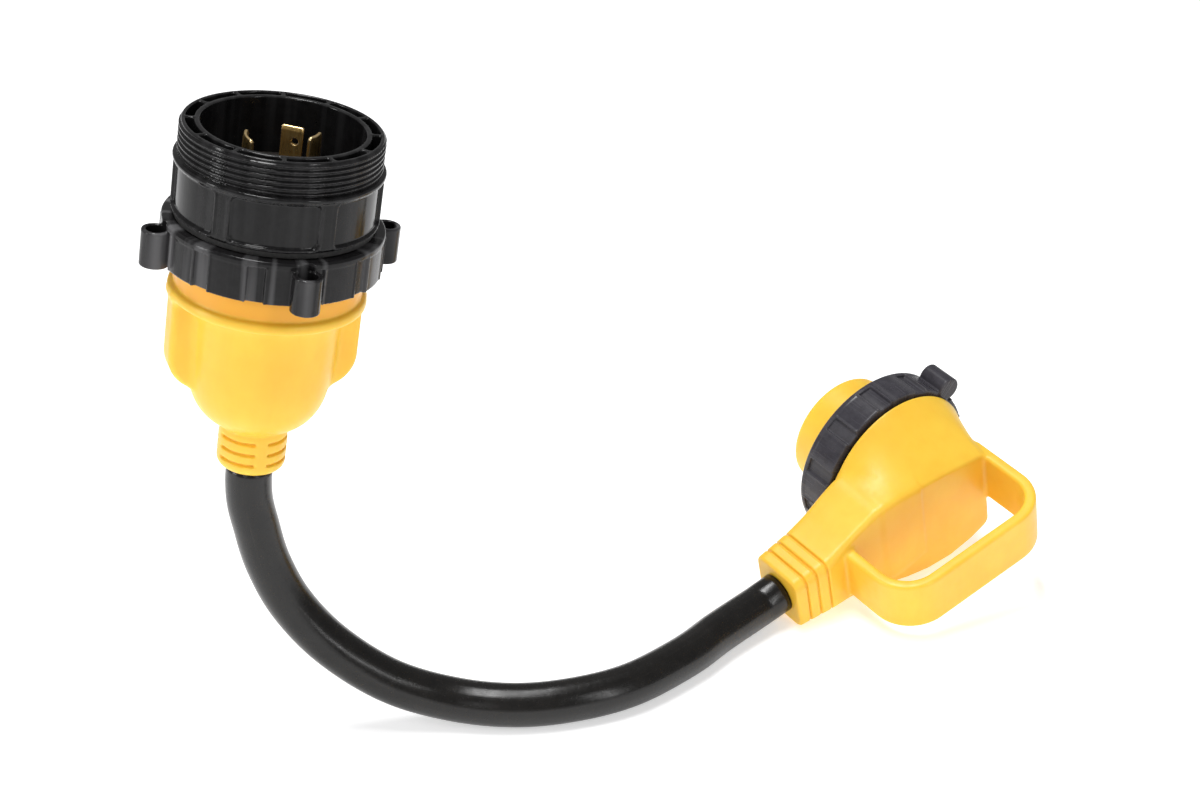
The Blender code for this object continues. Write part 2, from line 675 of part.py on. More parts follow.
def handle_outline(inset, steps=8):
    """The D-handle's outline in the X-Y plane, from its left foot round to its right foot."""
    left, right, back = HANDLE_LEFT + inset, HANDLE_RIGHT - inset, HANDLE_BACK + inset
    corner = HANDLE_CORNER_R - inset
    foot = -40.0 * MM
    points = [(left, foot)]
    points += arc_profile((left + corner, back + corner), corner, math.pi, 1.5 * math.pi, steps)
    points += arc_profile((right - corner, back + corner), corner, -math.pi / 2, 0, steps)
    points.append((right, foot))
    return points


def handle_mesh():
    """A ribbon with rounded edges, swept along the outline from foot to foot."""
    outer = handle_outline(0.0)
    inner = handle_outline(HANDLE_THICK)
    edge = 1.2 * MM
    across = edge / HANDLE_THICK
    loops = []
    for (ox, oy), (ix, iy) in zip(outer, inner):
        def at(part, z):
            return (ox + (ix - ox) * part, oy + (iy - oy) * part, z)
        half = HANDLE_HALF
        loops.append([
            at(0.0, -half + edge), at(0.0, half - edge), at(across, half), at(1 - across, half),
            at(1.0, half - edge), at(1.0, -half + edge), at(1 - across, -half), at(across, -half),
        ])
    return loft(loops)


def connector_body(frame):
    turned = Matrix.Rotation(-math.pi / 2, 4, "X")
    body = finished("connector_body", housing_mesh(), "yellow_overmould", frame)
    neck = cylinder(CONNECTOR_NECK_R, HOUSING_FRONT - 6 * MM, CONNECTOR_NECK_TOP, 48)
    neck.transform(turned)
    combine(body, [neck, strain_relief_mesh(), handle_mesh()], "UNION")
    cavity = cylinder(CAVITY_R, CONNECTOR_CAVITY_STEP, 0.0, 40)
    deep_cavity = cylinder(CONNECTOR_CAVITY_LOW_R, CONNECTOR_CAVITY_FLOOR, CONNECTOR_CAVITY_STEP + 4 * MM, 40)
    cavity.transform(turned)
    deep_cavity.transform(turned)
    ferrule_end = CONNECTOR_FERRULE_X + FERRULE_LENGTH
    channel = cylinder(CORE_BUNDLE_R + CORE_R + 2 * GAP, ferrule_end - 1 * MM, -10.0 * MM, 20)
    ferrule_seat = cylinder(FERRULE_R + GAP, CONNECTOR_FERRULE_X - GAP, ferrule_end + GAP, 24)
    for mesh in (channel, ferrule_seat):
        mesh.transform(Matrix.Translation((0, ENTRY_Y, 0)) @ Matrix.Rotation(math.pi / 2, 4, "Y"))
    combine(body, [cavity, deep_cavity, channel, ferrule_seat] + groove_cuts(), "DIFFERENCE")
    return body


def groove_cuts():
    """Three grooves round the strain relief."""
    cuts = []
    for x in (-76.5 * MM, -71.0 * MM, -65.5 * MM):
        half = 0.6 * MM
        loops = []
        for at, inner in ((x - half, False), (x + half, False), (x + half, True), (x - half, True)):
            grow = -1.1 * MM if inner else 4.0 * MM
            loops.append(rounded_rectangle(at, ENTRY_Y, 14.0 * MM + grow, 13.9 * MM + grow, 4.5 * MM))
        cuts.append(loft(loops, closed=True))
    return cuts


def connector_contacts(frame):
    turned = Matrix.Rotation(-math.pi / 2, 4, "X")
    slot_top = FACE_TOP + 5 * MM
    pocket_low, pocket_high = -25.0 * MM, 11.0 * MM
    contact_low, contact_high = -20.5 * MM, pocket_high - GAP
    carrier = finished("connector_contact_carrier", lathe([
        (0.0, -20.0 * MM), (CAVITY_R - GAP, -20.0 * MM), (CAVITY_R - GAP, CONNECTOR_NECK_TOP + GAP),
        (CARRIER_FLANGE_R, CONNECTOR_NECK_TOP + GAP), (CARRIER_FLANGE_R, -6.5 * MM),
        (CARRIER_FLANGE_R - 0.6 * MM, -6.0 * MM), (FACE_R, -6.0 * MM), (FACE_R, FACE_TOP - 3.0 * MM),
        (FACE_R - 0.9 * MM, FACE_TOP - 0.9 * MM), (FACE_R - 3.0 * MM, FACE_TOP), (0.0, FACE_TOP),
    ], 48), "yellow_overmould", frame)
    cuts = []
    angles = {"hot": 150, "neutral": 270, "ground": 30}
    for name, degrees in angles.items():
        angle = math.radians(degrees)
        pocket = sector(
            CONTACT_R - 2.4 * MM, CONTACT_R + 2.4 * MM, pocket_low, pocket_high, angle, math.radians(27), 6)
        slot = sector(CONTACT_R - 1.1 * MM, CONTACT_R + 1.1 * MM, 0.0, slot_top, angle, math.radians(24), 6)
        cuts += [pocket, slot]
        contact = sector(
            CONTACT_R - 2.1 * MM, CONTACT_R + 2.1 * MM, contact_low, contact_high, angle, math.radians(25), 6)
        jaw = sector(CONTACT_R - 0.8 * MM, CONTACT_R + 0.8 * MM, -12 * MM, 20 * MM, angle, math.radians(30), 6)
        contact.transform(turned)
        jaw.transform(turned)
        piece = finished(f"connector_contact_{name}", contact, "brass", frame)
        combine(piece, [jaw], "DIFFERENCE")
        crimp_high = contact_low - GAP
        at = (CONTACT_R * math.cos(angle), CONTACT_R * math.sin(angle))
        crimp = cylinder(CRIMP_R, crimp_high - 6 * MM, crimp_high, 16, at)
        crimp.transform(turned)
        finished(f"connector_crimp_{name}", crimp, "brass", frame)
        crimp_end = turned @ Vector((*at, crimp_high - 6 * MM - GAP))
        turn = math.radians({"hot": 300, "neutral": 60, "ground": 180}[name])
        begin = Vector((
            CONNECTOR_FERRULE_X + 0.5 * MM,
            ENTRY_Y + CORE_BUNDLE_R * math.cos(turn),
            CORE_BUNDLE_R * math.sin(turn),
        ))
        leave = begin + Vector((36 * MM, 0, 0))
        middle = leave.lerp(crimp_end, 0.45)
        middle.y = leave.y
        bend = crimp_end + Vector((0, -4 * MM, 0))
        route = [begin, leave, middle, bend]
        colour = {"hot": "core_black", "neutral": "core_white", "ground": "core_green"}[name]
        tube(f"connector_core_{name}", smooth_path(route, 14) + [crimp_end], CORE_R, colour, frame, 1)
    for cut in cuts:
        cut.transform(turned)
    carrier.data.transform(turned)
    combine(carrier, cuts, "DIFFERENCE")
    ferrule = lathe([
        (FERRULE_BORE_R, 0.0), (FERRULE_R, 0.0), (FERRULE_R, FERRULE_LENGTH), (FERRULE_BORE_R, FERRULE_LENGTH),
    ], 32)
    ferrule.transform(
        Matrix.Translation((CONNECTOR_FERRULE_X, ENTRY_Y, 0)) @ Matrix.Rotation(math.pi / 2, 4, "Y"))
    finished("connector_ferrule", ferrule, "steel_ferrule", frame)


def build_connector():
    mating = (MATING_AXIS - MATING_AXIS.dot(ENTRY_AXIS) * ENTRY_AXIS).normalized()
    frame = frame_empty("connector_frame", RING_MOUTH, ENTRY_AXIS, mating, ENTRY_AXIS.cross(mating))
    connector_body(frame)
    connector_contacts(frame)
    height = RING_GRIP + RING_FLANGE
    turned = Matrix.Rotation(-math.pi / 2, 4, "X")
    place = turned @ Matrix.Translation((0, 0, -height))
    lock_ring(
        "connector_lock_ring", frame,
        [(CONNECTOR_RING_LIP_R, 0.0), (CONNECTOR_RING_LIP_R, 2.6 * MM), (CONNECTOR_RING_BORE_R, 2.6 * MM),
         (CONNECTOR_RING_BORE_R, height)],
        CONNECTOR_EAR_TURN - math.pi / 2, 2, place,
    )
    washer(
        "connector_ring_washer", frame, CONNECTOR_NECK_R + GAP, HOUSING_R - 3 * MM,
        HOUSING_FRONT + GAP, -height - GAP, turned,
    )
    return frame


def build_cable():
    start = PLUG_EXIT - PLUG_AXIS * GAP
    mating = (MATING_AXIS - MATING_AXIS.dot(ENTRY_AXIS) * ENTRY_AXIS).normalized()
    end = RING_MOUTH + ENTRY_AXIS * (ENTRY_END - GAP) + mating * ENTRY_Y
    straight = 6 * MM
    route = [start - PLUG_AXIS * straight] + CABLE_ROUTE
    route += [end - ENTRY_AXIS * 2 * straight, end - ENTRY_AXIS * straight]
    points = [start] + smooth_path(route, CABLE_POINTS) + [end]
    tube("cable_jacket", points, CABLE_R, "cable_jacket", None, 3)


clear_scene()
build_plug()
build_connector()
build_cable()
bpy.context.view_layer.update()
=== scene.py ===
"""Looks of the power adapter dogbone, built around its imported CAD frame.

Lengths in the shape code are in millimetres, in the frame of the plug (+Z from the cable up to the
rim) or of the connector (+X from the cable into the housing, +Y the mating direction, +Z its upper
side). Everything placed in the scene is in metres, in the row frame.
"""

import math

import bmesh
import bpy
import numpy as np
from mathutils import Matrix, Vector


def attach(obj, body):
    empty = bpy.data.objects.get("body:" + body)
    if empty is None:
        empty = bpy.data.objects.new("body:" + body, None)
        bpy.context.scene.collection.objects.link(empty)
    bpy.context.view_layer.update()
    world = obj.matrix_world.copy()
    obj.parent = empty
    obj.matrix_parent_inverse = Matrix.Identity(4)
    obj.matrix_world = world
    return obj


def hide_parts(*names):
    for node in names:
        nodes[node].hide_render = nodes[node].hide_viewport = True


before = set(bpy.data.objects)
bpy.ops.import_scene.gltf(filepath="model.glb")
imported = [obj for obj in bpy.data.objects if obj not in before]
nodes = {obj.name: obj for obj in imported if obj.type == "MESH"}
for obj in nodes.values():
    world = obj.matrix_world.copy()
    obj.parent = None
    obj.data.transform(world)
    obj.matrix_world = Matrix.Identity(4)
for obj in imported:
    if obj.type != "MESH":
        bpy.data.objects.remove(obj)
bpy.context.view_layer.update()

MM = 0.001
# Places given from the point on the floor below the camera move to the row frame by taking this away.
CENTRE = Vector((0.0128, 0.8594, 0.0))
CAMERA_HEIGHT = 0.5654
CAMERA_DOWN = math.radians(28)
CAMERA_LENS = 72.66
FLOOR_HALF = 6.0
LIGHTS = [
    # name, place, target, width and height, watts
    ("top_softbox", (-0.15, 0.00, 1.35), (0, 0, 0.05), (0.9, 0.25), 15.5),
    ("left_softbox", (-1.10, -0.50, 0.55), (-0.1, 0, 0.12), (0.13, 0.9), 5),
    ("front_strip", (-0.32, -1.25, 0.62), (-0.1, 0, 0.12), (0.05, 0.7), 1.2),
    ("right_strip", (0.80, -0.90, 0.60), (0, 0, 0.12), (0.09, 0.9), 3),
]


def frame_matrix(origin, x_axis, y_axis, z_axis):
    """From millimetres in a local frame to metres in the row frame."""
    turn = Matrix((x_axis, y_axis, z_axis)).transposed().to_4x4()
    return Matrix.Translation(origin) @ turn @ Matrix.Scale(MM, 4)


PLUG_EXIT = Vector((-0.131, 0.790, 0.1197)) - CENTRE
PLUG_AXIS = Vector((0.1506, 0.0360, 0.9879)).normalized()
plug_y = PLUG_AXIS.cross(Vector((1, 0, 0))).normalized()
PLUG = frame_matrix(PLUG_EXIT, plug_y.cross(PLUG_AXIS), plug_y, PLUG_AXIS)

RING_MOUTH = Vector((0.1195, 0.9389, 0.04165)) - CENTRE
ENTRY_AXIS = Vector((0.7926, 0.5422, 0.2789)).normalized()
MATING_AXIS = Vector((-0.5909, 0.7959, 0.1320)).normalized()
mating = (MATING_AXIS - MATING_AXIS.dot(ENTRY_AXIS) * ENTRY_AXIS).normalized()
CONNECTOR = frame_matrix(RING_MOUTH, ENTRY_AXIS, mating, ENTRY_AXIS.cross(mating))
ENTRY_Y = -35.7  # the cable's height along the mating direction
ENTRY_END = -82.0  # the outer end of the connector's strain relief

# The camera and the stage


def make_camera():
    data = bpy.data.cameras.new("camera")
    data.sensor_width = 36
    data.lens = CAMERA_LENS
    camera = bpy.data.objects.new("camera", data)
    bpy.context.scene.collection.objects.link(camera)
    camera.location = Vector((0, 0, CAMERA_HEIGHT)) - CENTRE
    camera.rotation_euler = (math.pi / 2 - CAMERA_DOWN, 0, 0)
    bpy.context.scene.camera = camera


def area_light(name, place, target, size, watts):
    data = bpy.data.lights.new(name, "AREA")
    data.shape = "RECTANGLE"
    data.size, data.size_y = size
    data.energy = watts
    light = bpy.data.objects.new(name, data)
    bpy.context.scene.collection.objects.link(light)
    light.location = place
    light.rotation_euler = (Vector(target) - Vector(place)).to_track_quat("-Z", "Y").to_euler()


def make_stage():
    bm = bmesh.new()
    bmesh.ops.create_grid(bm, x_segments=1, y_segments=1, size=FLOOR_HALF)
    mesh = bpy.data.meshes.new("floor")
    bm.to_mesh(mesh)
    bm.free()
    floor = bpy.data.objects.new("floor", mesh)
    bpy.context.scene.collection.objects.link(floor)
    paper = bpy.data.materials.new("floor_paper")
    paper.use_nodes = True
    shader = paper.node_tree.nodes["Principled BSDF"]
    shader.inputs["Base Color"].default_value = (0.93, 0.93, 0.935, 1)
    shader.inputs["Roughness"].default_value = 0.6
    shader.inputs["Specular IOR Level"].default_value = 0.15
    shader.inputs["Emission Color"].default_value = (1.0, 1.0, 1.0, 1)
    shader.inputs["Emission Strength"].default_value = 0.48
    mesh.materials.append(paper)
    world = bpy.data.worlds.new("studio")
    world.use_nodes = True
    sky = world.node_tree.nodes["Background"]
    sky.inputs["Color"].default_value = (1.0, 1.0, 1.0, 1)
    sky.inputs["Strength"].default_value = 0.26
    bpy.context.scene.world = world
    for light in LIGHTS:
        area_light(*light)
    scene = bpy.context.scene
    scene.view_settings.view_transform = "Standard"
    scene.view_settings.look = "None"


# Distance fields. Each shape is a function of x, y, z arrays that is negative inside.


def smooth_min(a, b, k):
    """The space inside a or b, with a fillet about k wide where they meet."""
    h = np.clip(0.5 + 0.5 * (b - a) / k, 0, 1)
    return b + (a - b) * h - k * h * (1 - h)


def smooth_max(a, b, k):
    """The space inside both a and b, with their common edge eased over about k."""
    return -smooth_min(-a, -b, k)


def rounded_both(a, b, radius):
    """The space inside both a and b, with their common edge rounded to that radius."""
    a, b = a + radius, b + radius
    return np.minimum(np.maximum(a, b), 0) + np.hypot(np.maximum(a, 0), np.maximum(b, 0)) - radius


def rounded_rectangle(u, v, half_u, half_v, corner):
    return rounded_both(np.abs(u) - half_u, np.abs(v) - half_v, corner)


def turned_away(angle, middle):
    """How far each angle is from the middle one, between 0 and half a turn."""
    return np.abs((angle - middle + math.pi) % math.tau - math.pi)


def repeated(angle, first, count):
    """The place within its own sector of each angle, from -0.5 to 0.5, for count equal sectors."""
    return ((angle - first) / (math.tau / count) + 0.5) % 1.0 - 0.5


def polygon_distance(px, py, outline):
    """Signed distance in the plane to a closed outline."""
    best = np.full(px.shape, 1e9)
    inside = np.zeros(px.shape, bool)
    for (ax, ay), (bx, by) in zip(outline, outline[1:] + outline[:1]):
        ex, ey = bx - ax, by - ay
        wx, wy = px - ax, py - ay
        part = np.clip((wx * ex + wy * ey) / (ex * ex + ey * ey), 0, 1)
        best = np.minimum(best, (wx - ex * part) ** 2 + (wy - ey * part) ** 2)
        if ay != by:
            crosses = (ay > py) != (by > py)
            inside ^= crosses & (px < ex * wy / ey + ax)
    return np.where(inside, -1, 1) * np.sqrt(best)


def table_of(outline, lows, highs):
    """A fast lookup of the signed distance to an outline."""
    step = 0.12
    us = np.arange(lows[0], highs[0] + step, step)
    vs = np.arange(lows[1], highs[1] + step, step)
    values = polygon_distance(*np.meshgrid(us, vs, indexing="ij"), list(outline))

    def at(u, v):
        fu = np.clip((u - lows[0]) / step, 0, len(us) - 1.001)
        fv = np.clip((v - lows[1]) / step, 0, len(vs) - 1.001)
        i, j = fu.astype(np.int32), fv.astype(np.int32)
        a, b = fu - i, fv - j
        low = values[i, j] * (1 - a) + values[i + 1, j] * a
        high = values[i, j + 1] * (1 - a) + values[i + 1, j + 1] * a
        return low * (1 - b) + high * b

    return at


def arc(centre, radius, start, end, steps):
    """Points on an arc, angles in degrees."""
    angles = np.radians(np.linspace(start, end, steps + 1))
    return [(centre[0] + radius * math.cos(a), centre[1] + radius * math.sin(a)) for a in angles]


def eased(points):
    """Corner-cutting of an open run of points, which turns a coarse profile into a smooth one."""
    for _ in range(2):
        cut = [points[0]]
        for (ax, ay), (bx, by) in zip(points, points[1:]):
            cut.append((0.75 * ax + 0.25 * bx, 0.75 * ay + 0.25 * by))
            cut.append((0.25 * ax + 0.75 * bx, 0.25 * ay + 0.75 * by))
        points = cut + [points[-1]]
    return points


def spaced(*stops):
    """Positions from the first stop to the last, with its own step after each: (at, step), ..., end."""
    found = []
    for (at, step), after in zip(stops[:-1], stops[1:]):
        end = after[0] if isinstance(after, tuple) else after
        count = max(1, math.ceil((end - at) / step))
        found += [at + (end - at) * i / count for i in range(count)]
    return np.array(found + [stops[-1]])


def both_sides(half, step):
    """Positions on both sides of an axis."""
    return spaced((-half, step), half)


def skin(name, field, axes, place):
    """The surface where a field is zero, as a mesh with one point in each cell that it crosses.

    Each point starts at the mean of the crossings on its cell's edges, and moves onto the surface.
    """
    values = np.empty([len(axis) for axis in axes], np.float32)
    for i, x in enumerate(axes[0]):
        y, z = np.meshgrid(axes[1], axes[2], indexing="ij")
        values[i] = field(np.full(y.shape, x), y, z)
    solid = values < 0
    corner = [(i, j, k) for i in (0, 1) for j in (0, 1) for k in (0, 1)]
    size = [n - 1 for n in values.shape]

    def part(array, offset):
        return array[tuple(slice(o, o + n) for o, n in zip(offset, size))]

    count = sum(part(solid, c).astype(np.int8) for c in corner)
    cells = np.argwhere((count > 0) & (count < 8))
    number = np.full(size, -1, np.int64)
    number[tuple(cells.T)] = np.arange(len(cells))
    total = np.zeros((len(cells), 3))
    hits = np.zeros(len(cells))
    for c in corner:
        for axis in range(3):
            if c[axis]:
                continue
            d = list(c)
            d[axis] = 1
            a = values[tuple((cells + c).T)]
            b = values[tuple((cells + d).T)]
            crossed = (a < 0) != (b < 0)
            t = np.where(crossed, a / np.where(crossed, a - b, 1), 0)
            point = np.array(c, float)[None] + np.zeros((len(cells), 3))
            point[:, axis] += t
            total += point * crossed[:, None]
            hits += crossed
    lows = np.stack([axis[cells[:, i]] for i, axis in enumerate(axes)], 1)
    sizes = np.stack([axis[cells[:, i] + 1] for i, axis in enumerate(axes)], 1) - lows
    points = lows + total / hits[:, None] * sizes
    start = points.copy()
    step = 0.02
    # A few damped steps along the gradient, none of which takes a point far out of its cell.
    for _ in range(4):
        x, y, z = points.T
        d = field(x, y, z)
        grad = np.stack([
            field(x + step, y, z) - field(x - step, y, z),
            field(x, y + step, z) - field(x, y - step, z),
            field(x, y, z + step) - field(x, y, z - step),
        ], 1) / (2 * step)
        length = np.maximum((grad**2).sum(1), 0.05)
        points = points - 0.8 * (d / length)[:, None] * grad
        points = start + np.clip(points - start, -0.6 * sizes, 0.6 * sizes)
    quads = []
    for axis in range(3):
        others = [a for a in range(3) if a != axis]
        inner = tuple(slice(None, -1) if a == axis else slice(1, -1) for a in range(3))
        outer = tuple(slice(1, None) if a == axis else slice(1, -1) for a in range(3))
        change = solid[inner] != solid[outer]
        at = np.argwhere(change)
        for a in others:
            at[:, a] += 1
        filled = solid[tuple(at.T)]
        ring = []
        for du, dv in ((1, 1), (0, 1), (0, 0), (1, 0)):
            cell_at = at.copy()
            cell_at[:, others[0]] -= du
            cell_at[:, others[1]] -= dv
            ring.append(number[tuple(cell_at.T)])
        quad = np.stack(ring, 1)
        flip = filled if axis == 1 else ~filled
        quad[flip] = quad[flip][:, ::-1]
        quads.append(quad[(quad >= 0).all(1)])
    return mesh_piece(name, points, np.concatenate(quads), place)


def mesh_piece(name, points, faces, place):
    """A mesh object in the row frame that remembers each point's place in its local frame."""
    mesh = bpy.data.meshes.new(name)
    mesh.from_pydata(points.tolist(), [], faces.tolist())
    remember(mesh, points)
    mesh.transform(place)
    mesh.update()
    mesh.shade_smooth()
    return link(name, mesh)


def remember(mesh, places):
    """Stores each point's local place, in millimetres, for the materials to read."""
    local = mesh.attributes.new("local", "FLOAT_VECTOR", "POINT")
    local.data.foreach_set("vector", np.asarray(places, np.float32).ravel())


def link(name, mesh):
    obj = bpy.data.objects.new(name, mesh)
    bpy.context.scene.collection.objects.link(obj)
    return obj


# Plug body

PLUG_RELIEF_R = 12.8
LIP_TOP = 73.5
# Radius and height of the strain relief's rounded end, its side, the bowl and the lip's underside.
BOWL = [
    (12.8, 4.0), (12.8, 15.8), (12.3, 17.2), (13.8, 18.4), (17.8, 20.6), (21.7, 24.4), (24.6, 29.8),
    (26.2, 37.0), (26.8, 46.0), (27.1, 60.0), (27.4, 66.0), (30.5, 68.4), (34.0, 69.2),
]
LIP = [(34.8, 69.4), (35.9, 70.0), (36.0, 71.5), (35.6, 73.0), (34.6, LIP_TOP)]
# The neck under the lock ring, the spigot inside the sleeve, and the cavity back down to the cable.
NECK_AND_CAVITY = [
    (34.0, LIP_TOP), (34.0, 99.5), (28.8, 99.5), (28.8, 110.5), (22.0, 110.5), (22.0, 60.0),
    (15.0, 51.0), (8.6, 46.0), (8.6, 29.7), (-20.0, 29.7),
]
FIN_TURN = math.radians(20)
FIN_HALF = 6.0
FIN_EDGE = 2.4
FIN_INNER_R = 22.6
SLOT_ROWS = (5.0, 9.3, 13.8)
SLOT_MIDDLES = [math.radians(-112 + 90 * k) for k in range(4)]
SLOT_HALF_HEIGHT = 0.55
SLOT_HALF_LENGTH = 7.6
SLOT_FLOOR_R = 11.6


def fin_outline():
    inner, reach, top, bottom = 14.0, 35.2, 72.4, 33.4
    upper, lower = 2.5, 13.5
    outline = [(inner, top)] + arc((reach - upper, top - upper), upper, 90, 0, 4)
    return outline + arc((reach - lower, bottom + lower), lower, 0, -80, 12) + [(inner, bottom + 3.0)]


def plug_body_field():
    end = 3.4
    outer = arc((PLUG_RELIEF_R - end, end), end, -90, 0, 6) + eased(BOWL) + eased(LIP)
    turned = table_of([(-20.0, 0.0)] + outer + NECK_AND_CAVITY, (-2, -3), (48, 114))
    fin = table_of(fin_outline(), (5, 25), (48, 80))
    c, s = math.cos(FIN_TURN), math.sin(FIN_TURN)

    def field(x, y, z):
        r = np.hypot(x, y)
        body = turned(r, z)
        along, across = x * c + y * s, y * c - x * s
        plate = rounded_both(fin(np.abs(along), z), np.abs(across) - FIN_HALF, FIN_EDGE)
        plate = np.maximum(plate, FIN_INNER_R - r)
        both = smooth_min(body, plate, 3.0)
        both = np.where(z > LIP_TOP - 0.5, body, both)
        angle = np.arctan2(y, x)
        for row in SLOT_ROWS:
            for middle in SLOT_MIDDLES:
                off = turned_away(angle, middle) * PLUG_RELIEF_R
                slot = rounded_both(np.abs(z - row) - SLOT_HALF_HEIGHT, off - SLOT_HALF_LENGTH, 0.4)
                slot = np.maximum(slot, SLOT_FLOOR_R - r)
                slot = np.maximum(slot, r - PLUG_RELIEF_R - 3.2)
                both = smooth_max(both, -slot, 0.35)
        return both

    return field


# Connector body

HOUSING_R = 38.0
HOUSING_FRONT = -17.6
BACK_WALL = -47.6
BAR_MIDDLE, BAR_HALF_LENGTH = -3.5, 29.5
CONNECTOR_NECK_R = 30.0
NECK_FRONT = -9.3
GROOVES = (-76.5, -71.0, -65.5)
GROOVE_HALF_WIDTH, GROOVE_DEPTH = 0.55, 1.2
HANDLE_HALF_THICKNESS = 2.5
HANDLE_HALF_WIDTH = 12.4
HANDLE_ROOT = -38.0
# The cavity behind the contact carrier has a wide part and a narrow part, as radius and back.
WIDE_CAVITY = (22.0, -36.0)
NARROW_CAVITY = (16.5, -43.0)
# The bores along the cable's line, as radius and ends: one for the cores, one for the ferrule.
CORE_BORE = (6.2, -50.0, -10.0)
FERRULE_BORE = (8.6, -60.3, -46.7)


def handle_line():
    """The middle of the handle's strap: down one leg, along the bar and up the other leg."""
    left, right, bar, corner, root = -52.5, 27.5, -83.2, 16.5, -40.0
    line = [(left, root)] + arc((left + corner, bar + corner), corner, 180, 270, 14)
    return line + arc((right - corner, bar + corner), corner, 270, 360, 14) + [(right, root)]


def line_distance(x, y, line):
    """Distance in the plane to an open run of points."""
    best = np.full(np.shape(x), 1e9)
    for (ax, ay), (bx, by) in zip(line, line[1:]):
        ex, ey = bx - ax, by - ay
        part = np.clip(((x - ax) * ex + (y - ay) * ey) / (ex * ex + ey * ey), 0, 1)
        best = np.minimum(best, np.hypot(x - ax - ex * part, y - ay - ey * part))
    return best


def smoothed_columns(table):
    """Finely spaced stations of a table, and each further column smoothed at them."""
    fine = np.linspace(table[0, 0], table[-1, 0], 400)
    kernel = np.hanning(49)
    kernel = kernel / kernel.sum()
    columns = []
    for column in table.T[1:]:
        values = np.interp(fine, table[:, 0], column)
        padded = np.pad(values, 24, mode="reflect", reflect_type="odd")
        columns.append(np.convolve(padded, kernel, mode="valid"))
    return fine, columns


def connector_body_field():
    blocks = np.array([
        # x, half y, half z, corner, middle y
        (-83.0, 13.2, 13.3, 4.4, ENTRY_Y),
        (-64.0, 14.4, 14.6, 4.0, ENTRY_Y),
        (-54.0, 13.6, 16.8, 2.8, ENTRY_Y + 1.0),
        (-44.0, 14.0, 19.6, 2.6, ENTRY_Y + 2.0),
        (-35.0, 14.4, 22.4, 2.8, ENTRY_Y + 2.4),
        (-24.0, 14.4, 22.4, 3.0, ENTRY_Y + 2.4),
        (-10.0, 14.4, 20.0, 3.0, ENTRY_Y + 2.4),
    ])
    ridge_x = [-34.0, -22.0, -10.0, 3.0, 15.0, 23.0, 30.0]
    ridge_z = [22.4, 21.6, 20.0, 18.2, 16.0, 14.4, 12.8]
    keel_z = [24.0, 29.0, 32.5, 34.0, 32.5, 30.0, 26.0]
    stations, columns = smoothed_columns(blocks)
    line = handle_line()

    def field(x, y, z):
        r = np.hypot(x, z)
        above, below = np.interp(x, ridge_x, ridge_z), np.interp(x, ridge_x, keel_z)
        # The round front passes into a bar behind it, with the ridge above and the keel below.
        ends = np.abs(x - BAR_MIDDLE) - BAR_HALF_LENGTH
        bar = rounded_both(np.maximum(z - above, -z - below), ends, 2.5)
        share = np.clip((HOUSING_FRONT - 0.6 - y) / 28.5, 0, 1) ** 0.85
        shell = (1 - share) * (r - HOUSING_R) + share * bar
        housing = rounded_both(shell, BACK_WALL - y, 1.6)
        housing = rounded_both(housing, y - HOUSING_FRONT, 0.8)
        half_y, half_z, edge, middle = [np.interp(x, stations, column) for column in columns]
        block = rounded_rectangle(y - middle, z, half_y, half_z, edge)
        relief = rounded_both(block, ENTRY_END - x, 1.3)
        relief = np.maximum(relief, x + 12.0)
        body = smooth_min(housing, relief, 2.6)
        body = np.maximum(body, y - HOUSING_FRONT)
        neck = np.maximum(r - CONNECTOR_NECK_R, np.maximum(y - NECK_FRONT, -22 - y))
        body = np.minimum(body, neck)
        strap = line_distance(x, y, line) - HANDLE_HALF_THICKNESS
        handle = rounded_both(strap, np.abs(z) - HANDLE_HALF_WIDTH, 1.5)
        body = smooth_min(body, np.maximum(handle, y - HANDLE_ROOT), 2.4)
        for at in GROOVES:
            groove = np.maximum(np.abs(x - at) - GROOVE_HALF_WIDTH, -(block + GROOVE_DEPTH))
            body = smooth_max(body, -groove, 0.4)
        wide, narrow = [
            np.maximum(r - radius, back - y) for radius, back in (WIDE_CAVITY, NARROW_CAVITY)
        ]
        hollow = np.maximum(np.minimum(wide, narrow), y - 5)
        from_cable = np.hypot(y - ENTRY_Y, z)
        for radius, outer_end, inner_end in (CORE_BORE, FERRULE_BORE):
            bore = np.maximum(from_cable - radius, np.maximum(outer_end - x, x - inner_end))
            hollow = np.minimum(hollow, bore)
        return np.maximum(body, -hollow)

    return field


# Lock rings

RING_R = 40.0
RING_HEIGHT = 16.1
GRIP_HEIGHT = 13.5
RECESSES = 12
RECESS_DEPTH = 1.15
EAR_MIDDLE_R = 42.6
EAR_R = 5.3
EAR_LOW, EAR_HIGH = -0.7, 13.0
EAR_HOLE_R = 3.6
EAR_HOLE_FLOOR = 4.0
WEB_HALF_WIDTH = 3.4
WEB_LOW, WEB_HIGH = 0.4, 12.6
WEB_INNER_R, WEB_OUTER_R = 36.0, 42.0
LIP_HEIGHT = 2.6


def ear_places(first, count):
    turns = [first + math.tau * k / count for k in range(count)]
    return [(EAR_MIDDLE_R * math.cos(turn), EAR_MIDDLE_R * math.sin(turn)) for turn in turns]


